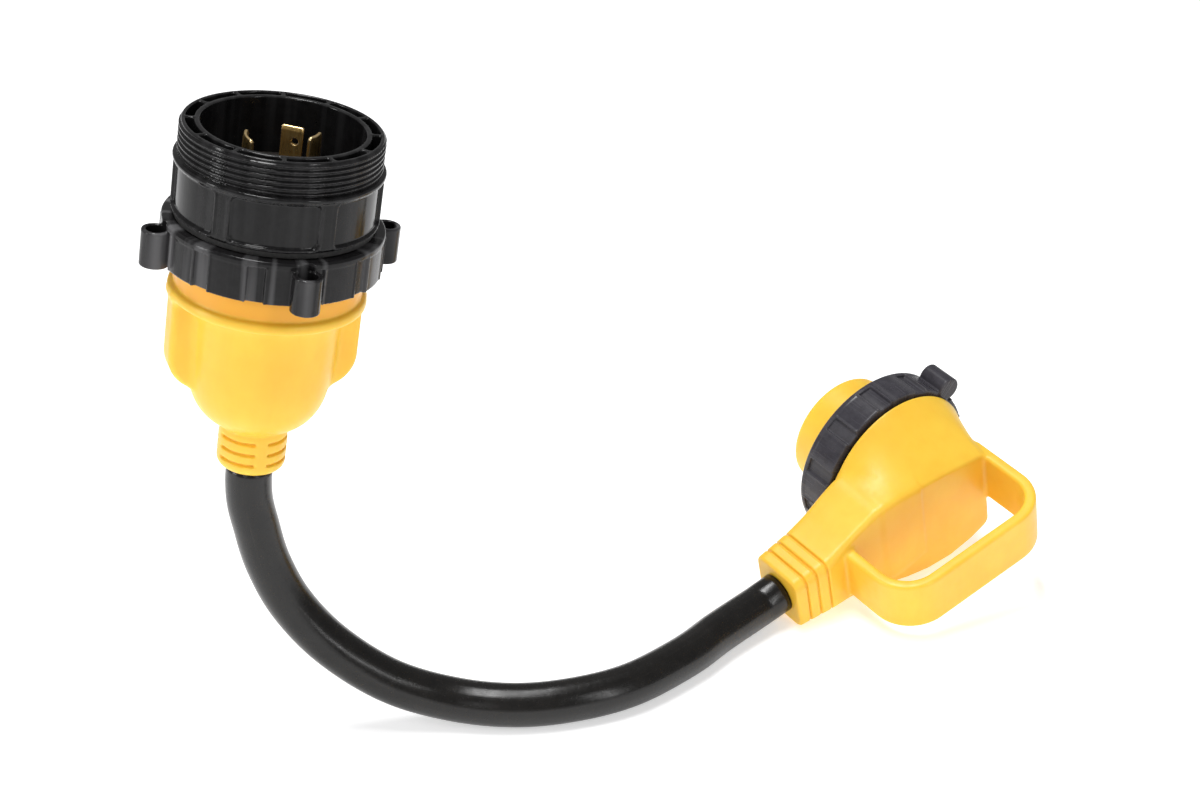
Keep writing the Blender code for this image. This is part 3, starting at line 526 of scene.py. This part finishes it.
def lock_ring_field(bore, first_ear, ears, lip_r=None):
    """A ring that stands on z = 0, its flange on top. lip_r is the bore of an inner lip at its foot."""
    recess_middle = first_ear + math.radians(5.5)

    def field(x, y, z):
        r = np.hypot(x, y)
        angle = np.arctan2(y, x)
        off = np.abs(repeated(angle, recess_middle, RECESSES)) * (math.tau / RECESSES)
        depth = RECESS_DEPTH * np.clip(0.5 - (off - math.radians(4.5)) * RING_R / 0.45, 0, 1)
        bead = 0.42 * np.exp(-(((off - math.radians(5.2)) * RING_R / 0.40) ** 2))
        body = rounded_both(r - (RING_R - depth - 0.12 + bead), -z, 0.6)
        body = np.maximum(body, z - GRIP_HEIGHT - 0.4)
        flange = rounded_both(r - RING_R, z - RING_HEIGHT, 1.1)
        flange = rounded_both(flange, GRIP_HEIGHT - z, 0.15)
        body = smooth_min(body, flange, 0.25)
        for px, py in ear_places(first_ear, ears):
            off = np.hypot(x - px, y - py)
            ear = rounded_both(off - EAR_R, np.maximum(EAR_LOW - z, z - EAR_HIGH), 0.45)
            # The web joins the ear to the ring on its own side of the axis.
            web = np.maximum(np.maximum(WEB_LOW - z, z - WEB_HIGH), r - WEB_OUTER_R)
            web = np.maximum(np.abs(x * py - y * px) / EAR_MIDDLE_R - WEB_HALF_WIDTH, web)
            web = np.maximum(web, WEB_INNER_R - r)
            web = np.maximum(web, -(x * px + y * py))
            body = smooth_min(body, smooth_min(ear, web, 1.0), 0.9)
            hole = np.maximum(off - EAR_HOLE_R, EAR_HOLE_FLOOR - z)
            body = smooth_max(body, -hole, 0.45)
        body = rounded_both(body, bore - r, 0.35)
        if lip_r:
            lip = np.maximum(lip_r - r, r - bore - 1)
            body = np.minimum(body, rounded_both(lip, np.maximum(-z, z - LIP_HEIGHT), 0.3))
        return body

    return field


# Threaded sleeve

SLEEVE_LOW = 101.5
RIM = 134.5
SLEEVE_R = 36.9
SLEEVE_BORE = 29.2
# Heights and radii of its outside: the grip panels' cylinder, the shoulder bead, the thread's root.
SLEEVE_OUTSIDE = [
    (SLEEVE_LOW - 2, SLEEVE_R), (119.2, SLEEVE_R), (119.8, 37.15), (120.3, 37.6), (121.2, 37.7),
    (121.7, 37.4), (122.1, 35.6), (140, 35.6),
]
THREAD_PITCH = 2.05
THREAD_HEIGHT = 0.8
THREAD_LOW, THREAD_HIGH = 122.0, 134.1
PANELS = 6
FIRST_PANEL = math.radians(-85)
PANEL_MIDDLE = 110.9
PANEL_HALF_WIDTH, PANEL_HALF_HEIGHT = 16.0, 8.2
PANEL_DEPTH = 1.15
RIBS = 12
FIRST_RIB = math.radians(7)
POCKET_MIDDLE_R = 32.7
POCKET_HALF_WIDTH = 1.55
POCKET_FLOOR = 127.5


def sleeve_field():
    heights, radii = np.array(SLEEVE_OUTSIDE).T

    def field(x, y, z):
        r = np.hypot(x, y)
        angle = np.arctan2(y, x)
        radius = np.interp(z, heights, radii)
        # One turn round the axis climbs one pitch, which makes the crest a helix.
        phase = ((z - THREAD_LOW - 0.3) / THREAD_PITCH - angle / math.tau) % 1.0
        crest = np.clip(1.85 - 6.4 * np.abs(phase - 0.5), 0, 1)
        crest = crest * crest * (3 - 2 * crest)
        runout = np.clip((z - THREAD_LOW) / 0.9, 0, 1) * np.clip((THREAD_HIGH - z) / 0.7, 0, 1)
        radius = radius + THREAD_HEIGHT * crest * runout
        across = repeated(angle, FIRST_PANEL, PANELS) * (math.tau / PANELS) * SLEEVE_R
        edge = rounded_rectangle(across, z - PANEL_MIDDLE, PANEL_HALF_WIDTH, PANEL_HALF_HEIGHT, 2.0)
        radius = radius - PANEL_DEPTH * np.clip(0.5 - edge / 0.5, 0, 1)
        radius = radius + 0.28 * np.exp(-(((edge - 0.75) / 0.42) ** 2)) * (z < 119.6)
        # The radius changes along the surface, so the distance is scaled down to stay a lower bound.
        body = rounded_both((r - radius) * 0.9, SLEEVE_LOW - z, 1.0)
        body = rounded_both(body, z - RIM, 0.45)
        body = rounded_both(body, SLEEVE_BORE - r, 0.4)
        from_rib = np.abs(repeated(angle, FIRST_RIB, RIBS)) * (math.tau / RIBS) * r
        pocket = rounded_both(np.abs(r - POCKET_MIDDLE_R) - POCKET_HALF_WIDTH, 0.85 - from_rib, 0.7)
        pocket = np.maximum(pocket, POCKET_FLOOR - z)
        return smooth_max(body, -pocket, 0.5)

    return field


# Contacts and their carriers

BLADE_LOW = 100.5
BLADE_TIP = 130.6
BLADE_R = 13.0
BLADE_HALF_THICKNESS = 0.85
BLADES = {
    # centre of its curve, direction of its middle, half of its angle
    "hot": ((0.0, 0.0), math.radians(197), math.radians(26)),
    "neutral": ((-0.8, 10.4), math.radians(-21.6), math.radians(19)),
}
GROUND_AT = (2.4, 11.3)
GROUND_TURN = math.radians(-10)
GROUND_HALF_WIDTH = 4.1
GROUND_HOLE_R = 1.3
BLADE_SLOT_HALF = 1.15
DISC_LOW, DISC_TOP = 110.8, 113.5
DISC_R = 28.6
DISC_GROOVE_R = 24.2
STEM_R = 21.7  # the part of either carrier that stands inside its overmould
FACE_R = 25.8
FACE_FLANGE_R = 33.0
FACE_Y = 21.5
FACE_SLOTS = [math.radians(degrees) for degrees in (150, 270, 30)]
FACE_SLOT_R = 11.5


def off_blade(x, y, centre, middle):
    """Distance from a curved blade's middle surface, and the angle from its middle line."""
    r = np.hypot(x - centre[0], y - centre[1])
    angle = np.arctan2(y - centre[1], x - centre[0])
    return np.abs(r - BLADE_R), turned_away(angle, middle)


def curved_blade_field(centre, middle, half):
    def field(x, y, z):
        across, off = off_blade(x, y, centre, middle)
        side = rounded_both((off - half) * BLADE_R, z - BLADE_TIP, 1.2)
        side = np.maximum(side, BLADE_LOW - z)
        taper = 0.3 * np.clip((z - BLADE_TIP + 2.0) / 2.0, 0, 1)
        return rounded_both(side, across - BLADE_HALF_THICKNESS + taper, 0.3)

    return field


def off_ground(x, y):
    """Places across the flat blade's width and its thickness."""
    u, v = x - GROUND_AT[0], y - GROUND_AT[1]
    c, s = math.cos(GROUND_TURN), math.sin(GROUND_TURN)
    return u * c + v * s, v * c - u * s


def ground_blade_field():
    def field(x, y, z):
        u, v = off_ground(x, y)
        side = rounded_both(np.abs(u) - GROUND_HALF_WIDTH, z - BLADE_TIP, 0.7)
        side = np.maximum(side, BLADE_LOW - z)
        taper = 0.3 * np.clip((z - BLADE_TIP + 1.6) / 1.6, 0, 1)
        blade = rounded_both(side, np.abs(v) - BLADE_HALF_THICKNESS + taper, 0.3)
        hole = GROUND_HOLE_R - np.hypot(u - 1.2, z - (BLADE_TIP - 5.4))
        return smooth_max(blade, hole, 0.25)

    return field


def blade_carrier_field():
    def field(x, y, z):
        r = np.hypot(x, y)
        disc = rounded_both(rounded_both(r - DISC_R, z - DISC_TOP, 0.5), DISC_LOW - z, 0.2)
        stem = np.maximum(r - STEM_R, np.maximum(BLADE_LOW - z, z - DISC_LOW - 0.7))
        body = np.minimum(disc, stem)
        groove = np.maximum(np.abs(r - DISC_GROOVE_R) - 0.8, DISC_TOP - 0.8 - z)
        body = smooth_max(body, -groove, 0.3)
        u, v = off_ground(x, y)
        cut = np.maximum(np.abs(u) - GROUND_HALF_WIDTH - 0.3, np.abs(v) - BLADE_SLOT_HALF)
        for centre, middle, half in BLADES.values():
            across, off = off_blade(x, y, centre, middle)
            slot = np.maximum(across - BLADE_SLOT_HALF, (off - half) * BLADE_R - 0.35)
            cut = np.minimum(cut, slot)
        return smooth_max(body, -cut, 0.3)

    return field


def connector_carrier_field():
    back = -9.0

    def field(x, y, z):
        r = np.hypot(x, z)
        barrel = rounded_both(rounded_both(r - FACE_R, y - FACE_Y, 2.4), back - y, 0.2)
        flange = rounded_both(rounded_both(r - FACE_FLANGE_R, y - back - 3.0, 0.5), back - y, 0.2)
        stem = np.maximum(r - STEM_R, np.maximum(back - 11.0 - y, y - back - 1.0))
        body = np.minimum(smooth_min(barrel, flange, 0.8), stem)
        body = np.where(y < back, stem, body)
        across = np.abs(r - FACE_SLOT_R)
        for middle in FACE_SLOTS:
            off = turned_away(np.arctan2(-z, x), middle)
            slot = rounded_both(across - 1.1, (off - math.radians(24)) * FACE_SLOT_R, 0.8)
            slot = np.maximum(slot, -y)
            pocket = np.maximum(across - 2.4, (off - math.radians(27)) * FACE_SLOT_R)
            pocket = np.maximum(pocket, np.maximum(-25 - y, y - 11.0))
            body = smooth_max(body, -np.minimum(slot, pocket), 0.4)
        return body

    return field


# Cable

JACKET_R = 8.9
CABLE_R = JACKET_R * MM
CABLE_SIDES = 48
CABLE_RINGS = 122
CABLE_ROUTE = [
    Vector(point) - CENTRE
    for point in (
        (-0.1322, 0.7899, 0.1040),
        (-0.1307, 0.7900, 0.0935),
        (-0.1271, 0.7900, 0.0760),
        (-0.1191, 0.7900, 0.0569),
        (-0.1046, 0.7900, 0.0380),
        (-0.0834, 0.7905, 0.0212),
        (-0.0600, 0.7915, 0.0118),
        (-0.0356, 0.7905, 0.0092),
        (-0.0119, 0.7940, 0.0091),
        (0.0120, 0.8045, 0.0091),
        (0.0345, 0.8245, 0.0091),
        (0.0490, 0.8420, 0.0093),
    )
]


def lengths_along(points):
    lengths = [0.0]
    for a, b in zip(points, points[1:]):
        lengths.append(lengths[-1] + (b - a).length)
    return lengths


def smooth_path(points, count):
    """Evenly spaced points on a Catmull-Rom curve through the route's points."""
    ends = [points[0] * 2 - points[1]] + points + [points[-1] * 2 - points[-2]]
    fine = []
    steps = 20
    for a, b, c, d in zip(ends, ends[1:], ends[2:], ends[3:]):
        for i in range(steps):
            t = i / steps
            square = (2 * a - 5 * b + 4 * c - d) * t**2
            cube = (3 * b - a - 3 * c + d) * t**3
            fine.append(0.5 * (2 * b + (c - a) * t + square + cube))
    fine.append(points[-1].copy())
    lengths = lengths_along(fine)
    even = []
    k = 0
    for i in range(count):
        want = lengths[-1] * i / (count - 1)
        while k < len(fine) - 2 and lengths[k + 1] < want:
            k += 1
        part = (want - lengths[k]) / (lengths[k + 1] - lengths[k])
        even.append(fine[k].lerp(fine[k + 1], min(part, 1.0)))
    return even


def cable_points():
    """The cable's middle line, straight for a little way at both strain reliefs."""
    gap = 0.3
    straight = 6 * MM
    start = PLUG_EXIT - PLUG_AXIS * gap * MM
    end = RING_MOUTH + ENTRY_AXIS * (ENTRY_END - gap) * MM + mating * ENTRY_Y * MM
    route = [start, start - PLUG_AXIS * straight] + CABLE_ROUTE
    route += [end - ENTRY_AXIS * 2 * straight, end - ENTRY_AXIS * straight, end]
    return smooth_path(route, CABLE_RINGS)


def make_cable():
    """A tube along the route, whose jacket shows a trace of the cores that lie twisted in it."""
    points = cable_points()
    along = lengths_along(points)
    before, after = [points[0]] + points[:-1], points[1:] + [points[-1]]
    tangents = [(b - a).normalized() for a, b in zip(before, after)]
    side = tangents[0].cross(Vector((0, 1, 0))).normalized()
    surface, places = [], []
    for point, tangent, length in zip(points, tangents, along):
        side = (side - side.dot(tangent) * tangent).normalized()
        other = tangent.cross(side)
        for i in range(CABLE_SIDES):
            at = math.tau * i / CABLE_SIDES
            wave = 0.05 * math.sin(3 * at + 34 * length) + 0.04 * math.sin(7 * at)
            radius = CABLE_R - (0.06 - 0.3 * wave) * MM
            surface.append(point + (side * math.cos(at) + other * math.sin(at)) * radius)
            places.append((JACKET_R * math.cos(at), JACKET_R * math.sin(at), length / MM))
    faces = []
    for k in range(len(points) - 1):
        low, high = k * CABLE_SIDES, (k + 1) * CABLE_SIDES
        for i in range(CABLE_SIDES):
            j = (i + 1) % CABLE_SIDES
            faces.append((low + i, low + j, high + j, high + i))
    faces.append(tuple(reversed(range(CABLE_SIDES))))
    faces.append(tuple(range(len(surface) - CABLE_SIDES, len(surface))))
    mesh = bpy.data.meshes.new("cable")
    mesh.from_pydata([tuple(p) for p in surface], [], faces)
    mesh.shade_smooth()
    for end_face in mesh.polygons[-2:]:
        end_face.use_smooth = False
    remember(mesh, places)
    return link("cable", mesh), points, along[-1]


# Materials

STREAK_AND_SHEEN_R = 36.0


class Nodes:
    """A small helper around one material's node tree."""

    def __init__(self, name, on_cad=False):
        """Places come from the stored local frame or, on a CAD node, from its own frame."""
        self.material = bpy.data.materials.new(name)
        self.material.use_nodes = True
        self.tree = self.material.node_tree
        self.shader = self.tree.nodes["Principled BSDF"]
        if on_cad:
            coords = self.tree.nodes.new("ShaderNodeTexCoord")
            self.place = self.vector("MULTIPLY", coords.outputs["Object"], (1 / MM, 1 / MM, 1 / MM))
        else:
            source = self.tree.nodes.new("ShaderNodeAttribute")
            source.attribute_name = "local"
            self.place = source.outputs["Vector"]

    def put(self, socket, value):
        if isinstance(value, bpy.types.NodeSocket):
            self.tree.links.new(value, socket)
        else:
            socket.default_value = value

    def vector(self, operation, a, b):
        node = self.tree.nodes.new("ShaderNodeVectorMath")
        node.operation = operation
        self.put(node.inputs[0], a)
        self.put(node.inputs[1], b)
        return node.outputs[0]

    def math(self, operation, a, b=0.0):
        node = self.tree.nodes.new("ShaderNodeMath")
        node.operation = operation
        self.put(node.inputs[0], a)
        self.put(node.inputs[1], b)
        return node.outputs[0]

    def split(self):
        """The local place as x, y and z."""
        node = self.tree.nodes.new("ShaderNodeSeparateXYZ")
        self.put(node.inputs[0], self.place)
        return node.outputs

    def noise(self, scale, detail, rough, place=None, stretch=None):
        """Noise whose scale is in features per millimetre."""
        node = self.tree.nodes.new("ShaderNodeTexNoise")
        source = place or self.place
        if stretch:
            source = self.vector("MULTIPLY", source, stretch)
        self.put(node.inputs["Vector"], source)
        node.inputs["Scale"].default_value = scale
        node.inputs["Detail"].default_value = detail
        node.inputs["Roughness"].default_value = rough
        return node.outputs["Fac"]

    def turned(self, squeeze):
        """The local place drawn onto one cylinder, for moulding lines and bands of painted reflection
        that run along a turned piece.
        """
        x, y, z = self.split()
        angle = self.math("ARCTAN2", y, x)
        join = self.tree.nodes.new("ShaderNodeCombineXYZ")
        self.put(join.inputs[0], self.math("MULTIPLY", self.math("COSINE", angle), STREAK_AND_SHEEN_R))
        self.put(join.inputs[1], self.math("MULTIPLY", self.math("SINE", angle), STREAK_AND_SHEEN_R))
        self.put(join.inputs[2], self.math("MULTIPLY", z, squeeze))
        return join.outputs[0]

    def remap(self, value, low, high, to_low, to_high):
        node = self.tree.nodes.new("ShaderNodeMapRange")
        self.put(node.inputs["Value"], value)
        node.inputs["From Min"].default_value = low
        node.inputs["From Max"].default_value = high
        node.inputs["To Min"].default_value = to_low
        node.inputs["To Max"].default_value = to_high
        return node.outputs["Result"]

    def mix(self, factor, a, b):
        node = self.tree.nodes.new("ShaderNodeMix")
        node.data_type = "RGBA"
        self.put(node.inputs["Factor"], factor)
        for socket, value in ((node.inputs[6], a), (node.inputs[7], b)):
            self.put(socket, (*value, 1.0) if isinstance(value, tuple) else value)
        return node.outputs[2]

    def edges(self, low, high):
        """1 on worn outer edges, 0 elsewhere."""
        geometry = self.tree.nodes.new("ShaderNodeNewGeometry")
        return self.remap(geometry.outputs["Pointiness"], low, high, 0, 1)

    def hollows(self):
        """1 in narrow hollows, 0 elsewhere: the mask for painted shade."""
        geometry = self.tree.nodes.new("ShaderNodeNewGeometry")
        return self.remap(geometry.outputs["Pointiness"], 0.38, 0.48, 1, 0)

    def bump(self, *layers):
        """Layers of (height, depth in millimetres)."""
        normal = None
        for height, depth in layers:
            node = self.tree.nodes.new("ShaderNodeBump")
            node.inputs["Strength"].default_value = 1.0
            node.inputs["Distance"].default_value = depth * MM
            self.put(node.inputs["Height"], height)
            if normal:
                self.put(node.inputs["Normal"], normal)
            normal = node.outputs["Normal"]
        self.put(self.shader.inputs["Normal"], normal)

    def finish(self, colour, roughness, metallic=0.0, **sockets):
        """Sets the shader's sockets, whose names have _ for each space, and gives the material."""
        self.put(self.shader.inputs["Base Color"], colour)
        self.put(self.shader.inputs["Roughness"], roughness)
        self.shader.inputs["Metallic"].default_value = metallic
        for name, value in sockets.items():
            self.shader.inputs[name.replace("_", " ")].default_value = value
        return self.material


def yellow_pvc(name, neck=None):
    """Moulded yellow plastic, with painted shade in its narrow hollows. neck gives the heights between
    which it lies under a ring, where painted shade darkens it: a deeper orange from the lip up, and a
    painted brown shadow just under the ring.
    """
    n = Nodes(name)
    tone = n.remap(n.noise(0.035, 3, 0.55), 0.35, 0.65, 0, 1)
    colour = n.mix(tone, (0.91, 0.535, 0.044), (0.94, 0.595, 0.058))
    flow = n.remap(n.noise(0.11, 4, 0.6, stretch=(1, 1, 0.35)), 0.45, 0.72, 0, 0.35)
    colour = n.mix(flow, colour, (0.89, 0.48, 0.034))
    # painted shade: narrow hollows are darkened to a deeper orange
    colour = n.mix(n.math("MULTIPLY", n.hollows(), 0.55), colour, (0.80, 0.36, 0.015))
    colour = n.mix(n.math("MULTIPLY", n.edges(0.54, 0.68), 0.35), colour, (0.98, 0.70, 0.16))
    if neck:
        low, high = neck
        height = n.split()[2]
        # painted shade: a deeper orange over the neck from the lip up, then a painted brown shadow
        # growing over the last 6 mm up to the ring
        colour = n.mix(n.remap(height, low, low + 1.2, 0, 0.75), colour, (0.86, 0.36, 0.020))
        colour = n.mix(n.remap(height, high - 6.0, high, 0, 0.45), colour, (0.52, 0.18, 0.014))
    grain = n.noise(2.6, 3, 0.6)
    roughness = n.remap(n.noise(0.35, 4, 0.6), 0.3, 0.7, 0.34, 0.46)
    n.bump((n.noise(0.16, 2, 0.5), 0.10), (grain, 0.018))
    return n.finish(
        colour, roughness, Subsurface_Weight=0.22, Subsurface_Scale=0.004,
        Subsurface_Radius=(1.0, 0.45, 0.08), Specular_IOR_Level=0.42,
    )


def black_moulding(name, base, gloss, streaks, painted_sheen=0.0):
    """Moulded black plastic: base is its colour and gloss its roughness; streaks is the share of lighter
    moulding lines, and the last argument the share of painted reflection, wide lighter bands along the
    axis.
    """
    n = Nodes(name)
    tone = n.remap(n.noise(0.25, 4, 0.6), 0.35, 0.7, 0, 1)
    light = tuple(1.7 * c + 0.004 for c in base)
    lighter = tuple(2.6 * c + 0.006 for c in base)
    colour = n.mix(n.math("MULTIPLY", tone, 0.5), base, light)
    # painted reflection: wide bands round the axis are lightened toward grey to stand in for the lamps'
    # reflections
    painted_sheen_bands = n.noise(0.17, 1.5, 0.5, place=n.turned(0.03))
    colour = n.mix(n.remap(painted_sheen_bands, 0.50, 0.66, 0, painted_sheen), colour, (0.14, 0.138, 0.142))
    lines = n.noise(0.9, 3, 0.6, place=n.turned(0.06))
    colour = n.mix(n.remap(lines, 0.52, 0.72, 0, streaks), colour, lighter)
    scuff = n.remap(n.noise(1.3, 5, 0.7), 0.55, 0.75, 0, 1)
    patches = n.remap(n.noise(0.5, 3, 0.6), 0.35, 0.7, 0.25, 1)
    worn = n.math("MULTIPLY", n.edges(0.53, 0.66), patches)
    colour = n.mix(n.math("MULTIPLY", worn, 0.6), colour, (0.17, 0.165, 0.17))
    drawn = n.remap(lines, 0.3, 0.7, gloss - 0.04, gloss + 0.06)
    roughness = n.math("ADD", drawn, n.math("MULTIPLY", scuff, 0.10))
    n.bump((n.noise(0.12, 2, 0.5), 0.05), (lines, 0.010), (n.noise(3.2, 3, 0.6), 0.006))
    return n.finish(colour, roughness, Specular_IOR_Level=0.2)


def jacket(name):
    n = Nodes(name)
    streaks = n.noise(1.1, 4, 0.65, stretch=(1, 1, 0.02))
    tone = n.remap(n.noise(0.12, 4, 0.6), 0.35, 0.65, 0, 1)
    colour = n.mix(tone, (0.0048, 0.0043, 0.0039), (0.0085, 0.0077, 0.0069))
    colour = n.mix(n.remap(streaks, 0.55, 0.75, 0, 0.45), colour, (0.022, 0.020, 0.018))
    roughness = n.remap(n.noise(0.6, 4, 0.6), 0.3, 0.7, 0.20, 0.29)
    n.bump((n.noise(0.10, 2, 0.5), 0.12), (streaks, 0.035), (n.noise(2.4, 3, 0.6), 0.012))
    return n.finish(colour, roughness, Specular_IOR_Level=0.38)


def rubber(name):
    n = Nodes(name, True)
    tone = n.remap(n.noise(0.3, 4, 0.6), 0.35, 0.65, 0, 1)
    colour = n.mix(tone, (0.010, 0.010, 0.010), (0.022, 0.021, 0.020))
    n.bump((n.noise(1.8, 4, 0.65), 0.03))
    return n.finish(colour, n.remap(n.noise(0.8, 3, 0.6), 0.3, 0.7, 0.62, 0.82))


def brass(name, on_cad=False):
    n = Nodes(name, on_cad)
    brushed = n.noise(2.2, 4, 0.65, stretch=(1, 1, 0.08))
    tone = n.remap(n.noise(0.25, 4, 0.6), 0.3, 0.7, 0, 1)
    colour = n.mix(tone, (0.80, 0.52, 0.17), (0.90, 0.64, 0.26))
    colour = n.mix(n.remap(brushed, 0.55, 0.75, 0, 0.4), colour, (0.88, 0.72, 0.42))
    if not on_cad:
        colour = n.mix(n.math("MULTIPLY", n.edges(0.52, 0.60), 0.8), colour, (0.93, 0.86, 0.70))
    n.bump((brushed, 0.012), (n.noise(0.5, 3, 0.6), 0.015))
    return n.finish(colour, n.remap(brushed, 0.3, 0.7, 0.24, 0.40), 1.0)


def steel(name):
    n = Nodes(name, True)
    brushed = n.noise(1.6, 4, 0.65, stretch=(1, 1, 0.1))
    colour = n.mix(n.remap(brushed, 0.3, 0.7, 0, 1), (0.42, 0.42, 0.43), (0.62, 0.62, 0.63))
    n.bump((brushed, 0.02))
    return n.finish(colour, n.remap(brushed, 0.3, 0.7, 0.28, 0.45), 1.0)


def insulation(name, base):
    n = Nodes(name, True)
    tone = n.remap(n.noise(0.4, 3, 0.6), 0.35, 0.65, 0, 1)
    colour = n.mix(tone, tuple(0.85 * c for c in base), tuple(min(1, 1.1 * c + 0.004) for c in base))
    n.bump((n.noise(1.5, 3, 0.6), 0.02))
    return n.finish(colour, n.remap(n.noise(0.7, 3, 0.6), 0.3, 0.7, 0.42, 0.56))


# Assembly


PLUG_RING_FOOT = 83.0  # where the plug's ring stands on the neck, its flange towards the rim
PLUG_RING_BORE = 34.4
PLUG_RING_FIRST_EAR = math.radians(23)
CONNECTOR_RING_BORE = 34.6
CONNECTOR_RING_LIP_R = 30.4
CONNECTOR_RING_FIRST_EAR = math.radians(-37)


def place_piece(obj, body, node, material):
    obj.data.materials.append(material)
    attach(obj, body)
    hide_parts(node)


make_camera()
cable, cable_path, cable_length = make_cable()
place_piece(cable, "adapter", "cable_jacket", jacket("jacket_pvc"))
tuple(cable_path[0])
[tuple(p) for p in cable_path]
make_stage()

yellow = yellow_pvc("yellow_pvc")
# The plug body's yellow carries painted shade on the neck under its ring.
neck_shade_yellow = yellow_pvc("neck_shade_yellow_pvc", neck=(LIP_TOP + 0.1, PLUG_RING_FOOT + 2.0))
# The last argument of each black moulding sets its share of painted reflection.
glossy = black_moulding("sleeve_black", (0.0052, 0.0050, 0.0052), 0.12, streaks=0.15, painted_sheen=0.06)
ring_black = black_moulding("ring_black", (0.0070, 0.0066, 0.0070), 0.17, streaks=0.2, painted_sheen=0.65)
ring_grey = black_moulding("ring_grey", (0.0380, 0.0360, 0.0430), 0.24, streaks=0.06, painted_sheen=0.3)
carrier_dark = black_moulding("carrier_dark", (0.020, 0.018, 0.016), 0.36, streaks=0.1)
blade_brass = brass("blade_brass")

# Each grid is finest where the shape has its smallest detail, and ends just outside the shape.
body_heights = spaced((-0.6, 0.4), (15.0, 0.6), (20.0, 0.85), (64.0, 0.6), (74.5, 1.0), 111.5)
body_axes = [both_sides(37.5, 0.8), both_sides(37.5, 0.8), body_heights]
body = skin("plug_overmould", plug_body_field(), body_axes, PLUG)
place_piece(body, "adapter", "plug_body", neck_shade_yellow)
housing_lengths = spaced((-83.0, 0.45), (-63.0, 0.8), 39.0)
housing_axes = [housing_lengths, spaced((-86.6, 0.75), -8.0), both_sides(39.0, 0.75)]
housing = skin("connector_overmould", connector_body_field(), housing_axes, CONNECTOR)
place_piece(housing, "adapter", "connector_body", yellow)
sleeve_heights = spaced((100.9, 0.62), (119.0, 0.36), 135.1)
sleeve_axes = [both_sides(38.5, 0.6), both_sides(38.5, 0.6), sleeve_heights]
sleeve = skin("plug_sleeve", sleeve_field(), sleeve_axes, PLUG)
place_piece(sleeve, "adapter", "threaded_sleeve", glossy)
ring_axes = [both_sides(48.5, 0.5), both_sides(48.5, 0.5), spaced((-1.3, 0.4), 16.7)]
ring_shape = lock_ring_field(PLUG_RING_BORE, PLUG_RING_FIRST_EAR, 4)
on_neck = PLUG @ Matrix.Translation((0, 0, PLUG_RING_FOOT))
plug_ring = skin("plug_ring", ring_shape, ring_axes, on_neck)
place_piece(plug_ring, "plug_ring", "plug_lock_ring", ring_black)
# The connector's ring is turned to the mating direction, its flange level with the ring's mouth.
ring_shape = lock_ring_field(CONNECTOR_RING_BORE, CONNECTOR_RING_FIRST_EAR, 2, CONNECTOR_RING_LIP_R)
mating_up = Matrix.Rotation(-math.pi / 2, 4, "X")
at_mouth = CONNECTOR @ mating_up @ Matrix.Translation((0, 0, -RING_HEIGHT))
connector_ring = skin("connector_ring", ring_shape, ring_axes, at_mouth)
place_piece(connector_ring, "connector_ring", "connector_lock_ring", ring_grey)
face_axes = [both_sides(33.6, 0.6), spaced((-20.6, 0.6), FACE_Y + 0.6), both_sides(33.6, 0.6)]
face = skin("connector_face", connector_carrier_field(), face_axes, CONNECTOR)
place_piece(face, "adapter", "connector_contact_carrier", yellow)
disc_axes = [both_sides(29.2, 0.5), both_sides(29.2, 0.5), spaced((99.9, 0.5), 114.1)]
disc = skin("plug_disc", blade_carrier_field(), disc_axes, PLUG)
place_piece(disc, "adapter", "plug_blade_carrier", carrier_dark)
for name, (centre, middle, half) in BLADES.items():
    u, v = centre[0] + BLADE_R * math.cos(middle), centre[1] + BLADE_R * math.sin(middle)
    axes = [spaced((at - 7.5, 0.28), at + 7.5) for at in (u, v)] + [spaced((99.9, 0.5), 131.2)]
    blade = skin(f"blade_{name}", curved_blade_field(centre, middle, half), axes, PLUG)
    place_piece(blade, "adapter", f"plug_blade_{name}", blade_brass)
axes = [spaced((-2.7, 0.28), 7.5), spaced((9.2, 0.25), 13.4), spaced((99.9, 0.3), 131.2)]
blade = skin("blade_ground", ground_blade_field(), axes, PLUG)
place_piece(blade, "adapter", "plug_blade_ground", blade_brass)

CORES = ("hot", "neutral", "ground")
CAD_FINISHES = {
    "seal_rubber": rubber("seal_rubber"),
    "brass": brass("hidden_brass", True),
    "steel_ferrule": steel("ferrule_steel"),
    "core_black": insulation("core_black", (0.02, 0.02, 0.02)),
    "core_white": insulation("core_white", (0.78, 0.78, 0.75)),
    "core_green": insulation("core_green", (0.02, 0.25, 0.06)),
}
KEPT_NODES = {
    "seal_rubber": ["plug_ring_washer", "connector_ring_washer", "sleeve_seal"],
    "brass": [f"connector_contact_{core}" for core in CORES]
    + [f"{end}_crimp_{core}" for end in ("plug", "connector") for core in CORES],
    "steel_ferrule": ["plug_ferrule", "connector_ferrule"],
    "core_black": ["plug_core_hot", "connector_core_hot"],
    "core_white": ["plug_core_neutral", "connector_core_neutral"],
    "core_green": ["plug_core_ground", "connector_core_ground"],
}
for slot_name, members in KEPT_NODES.items():
    for member in members:
        obj = nodes[member]
        obj.data.materials.clear()
        obj.data.materials.append(CAD_FINISHES[slot_name])
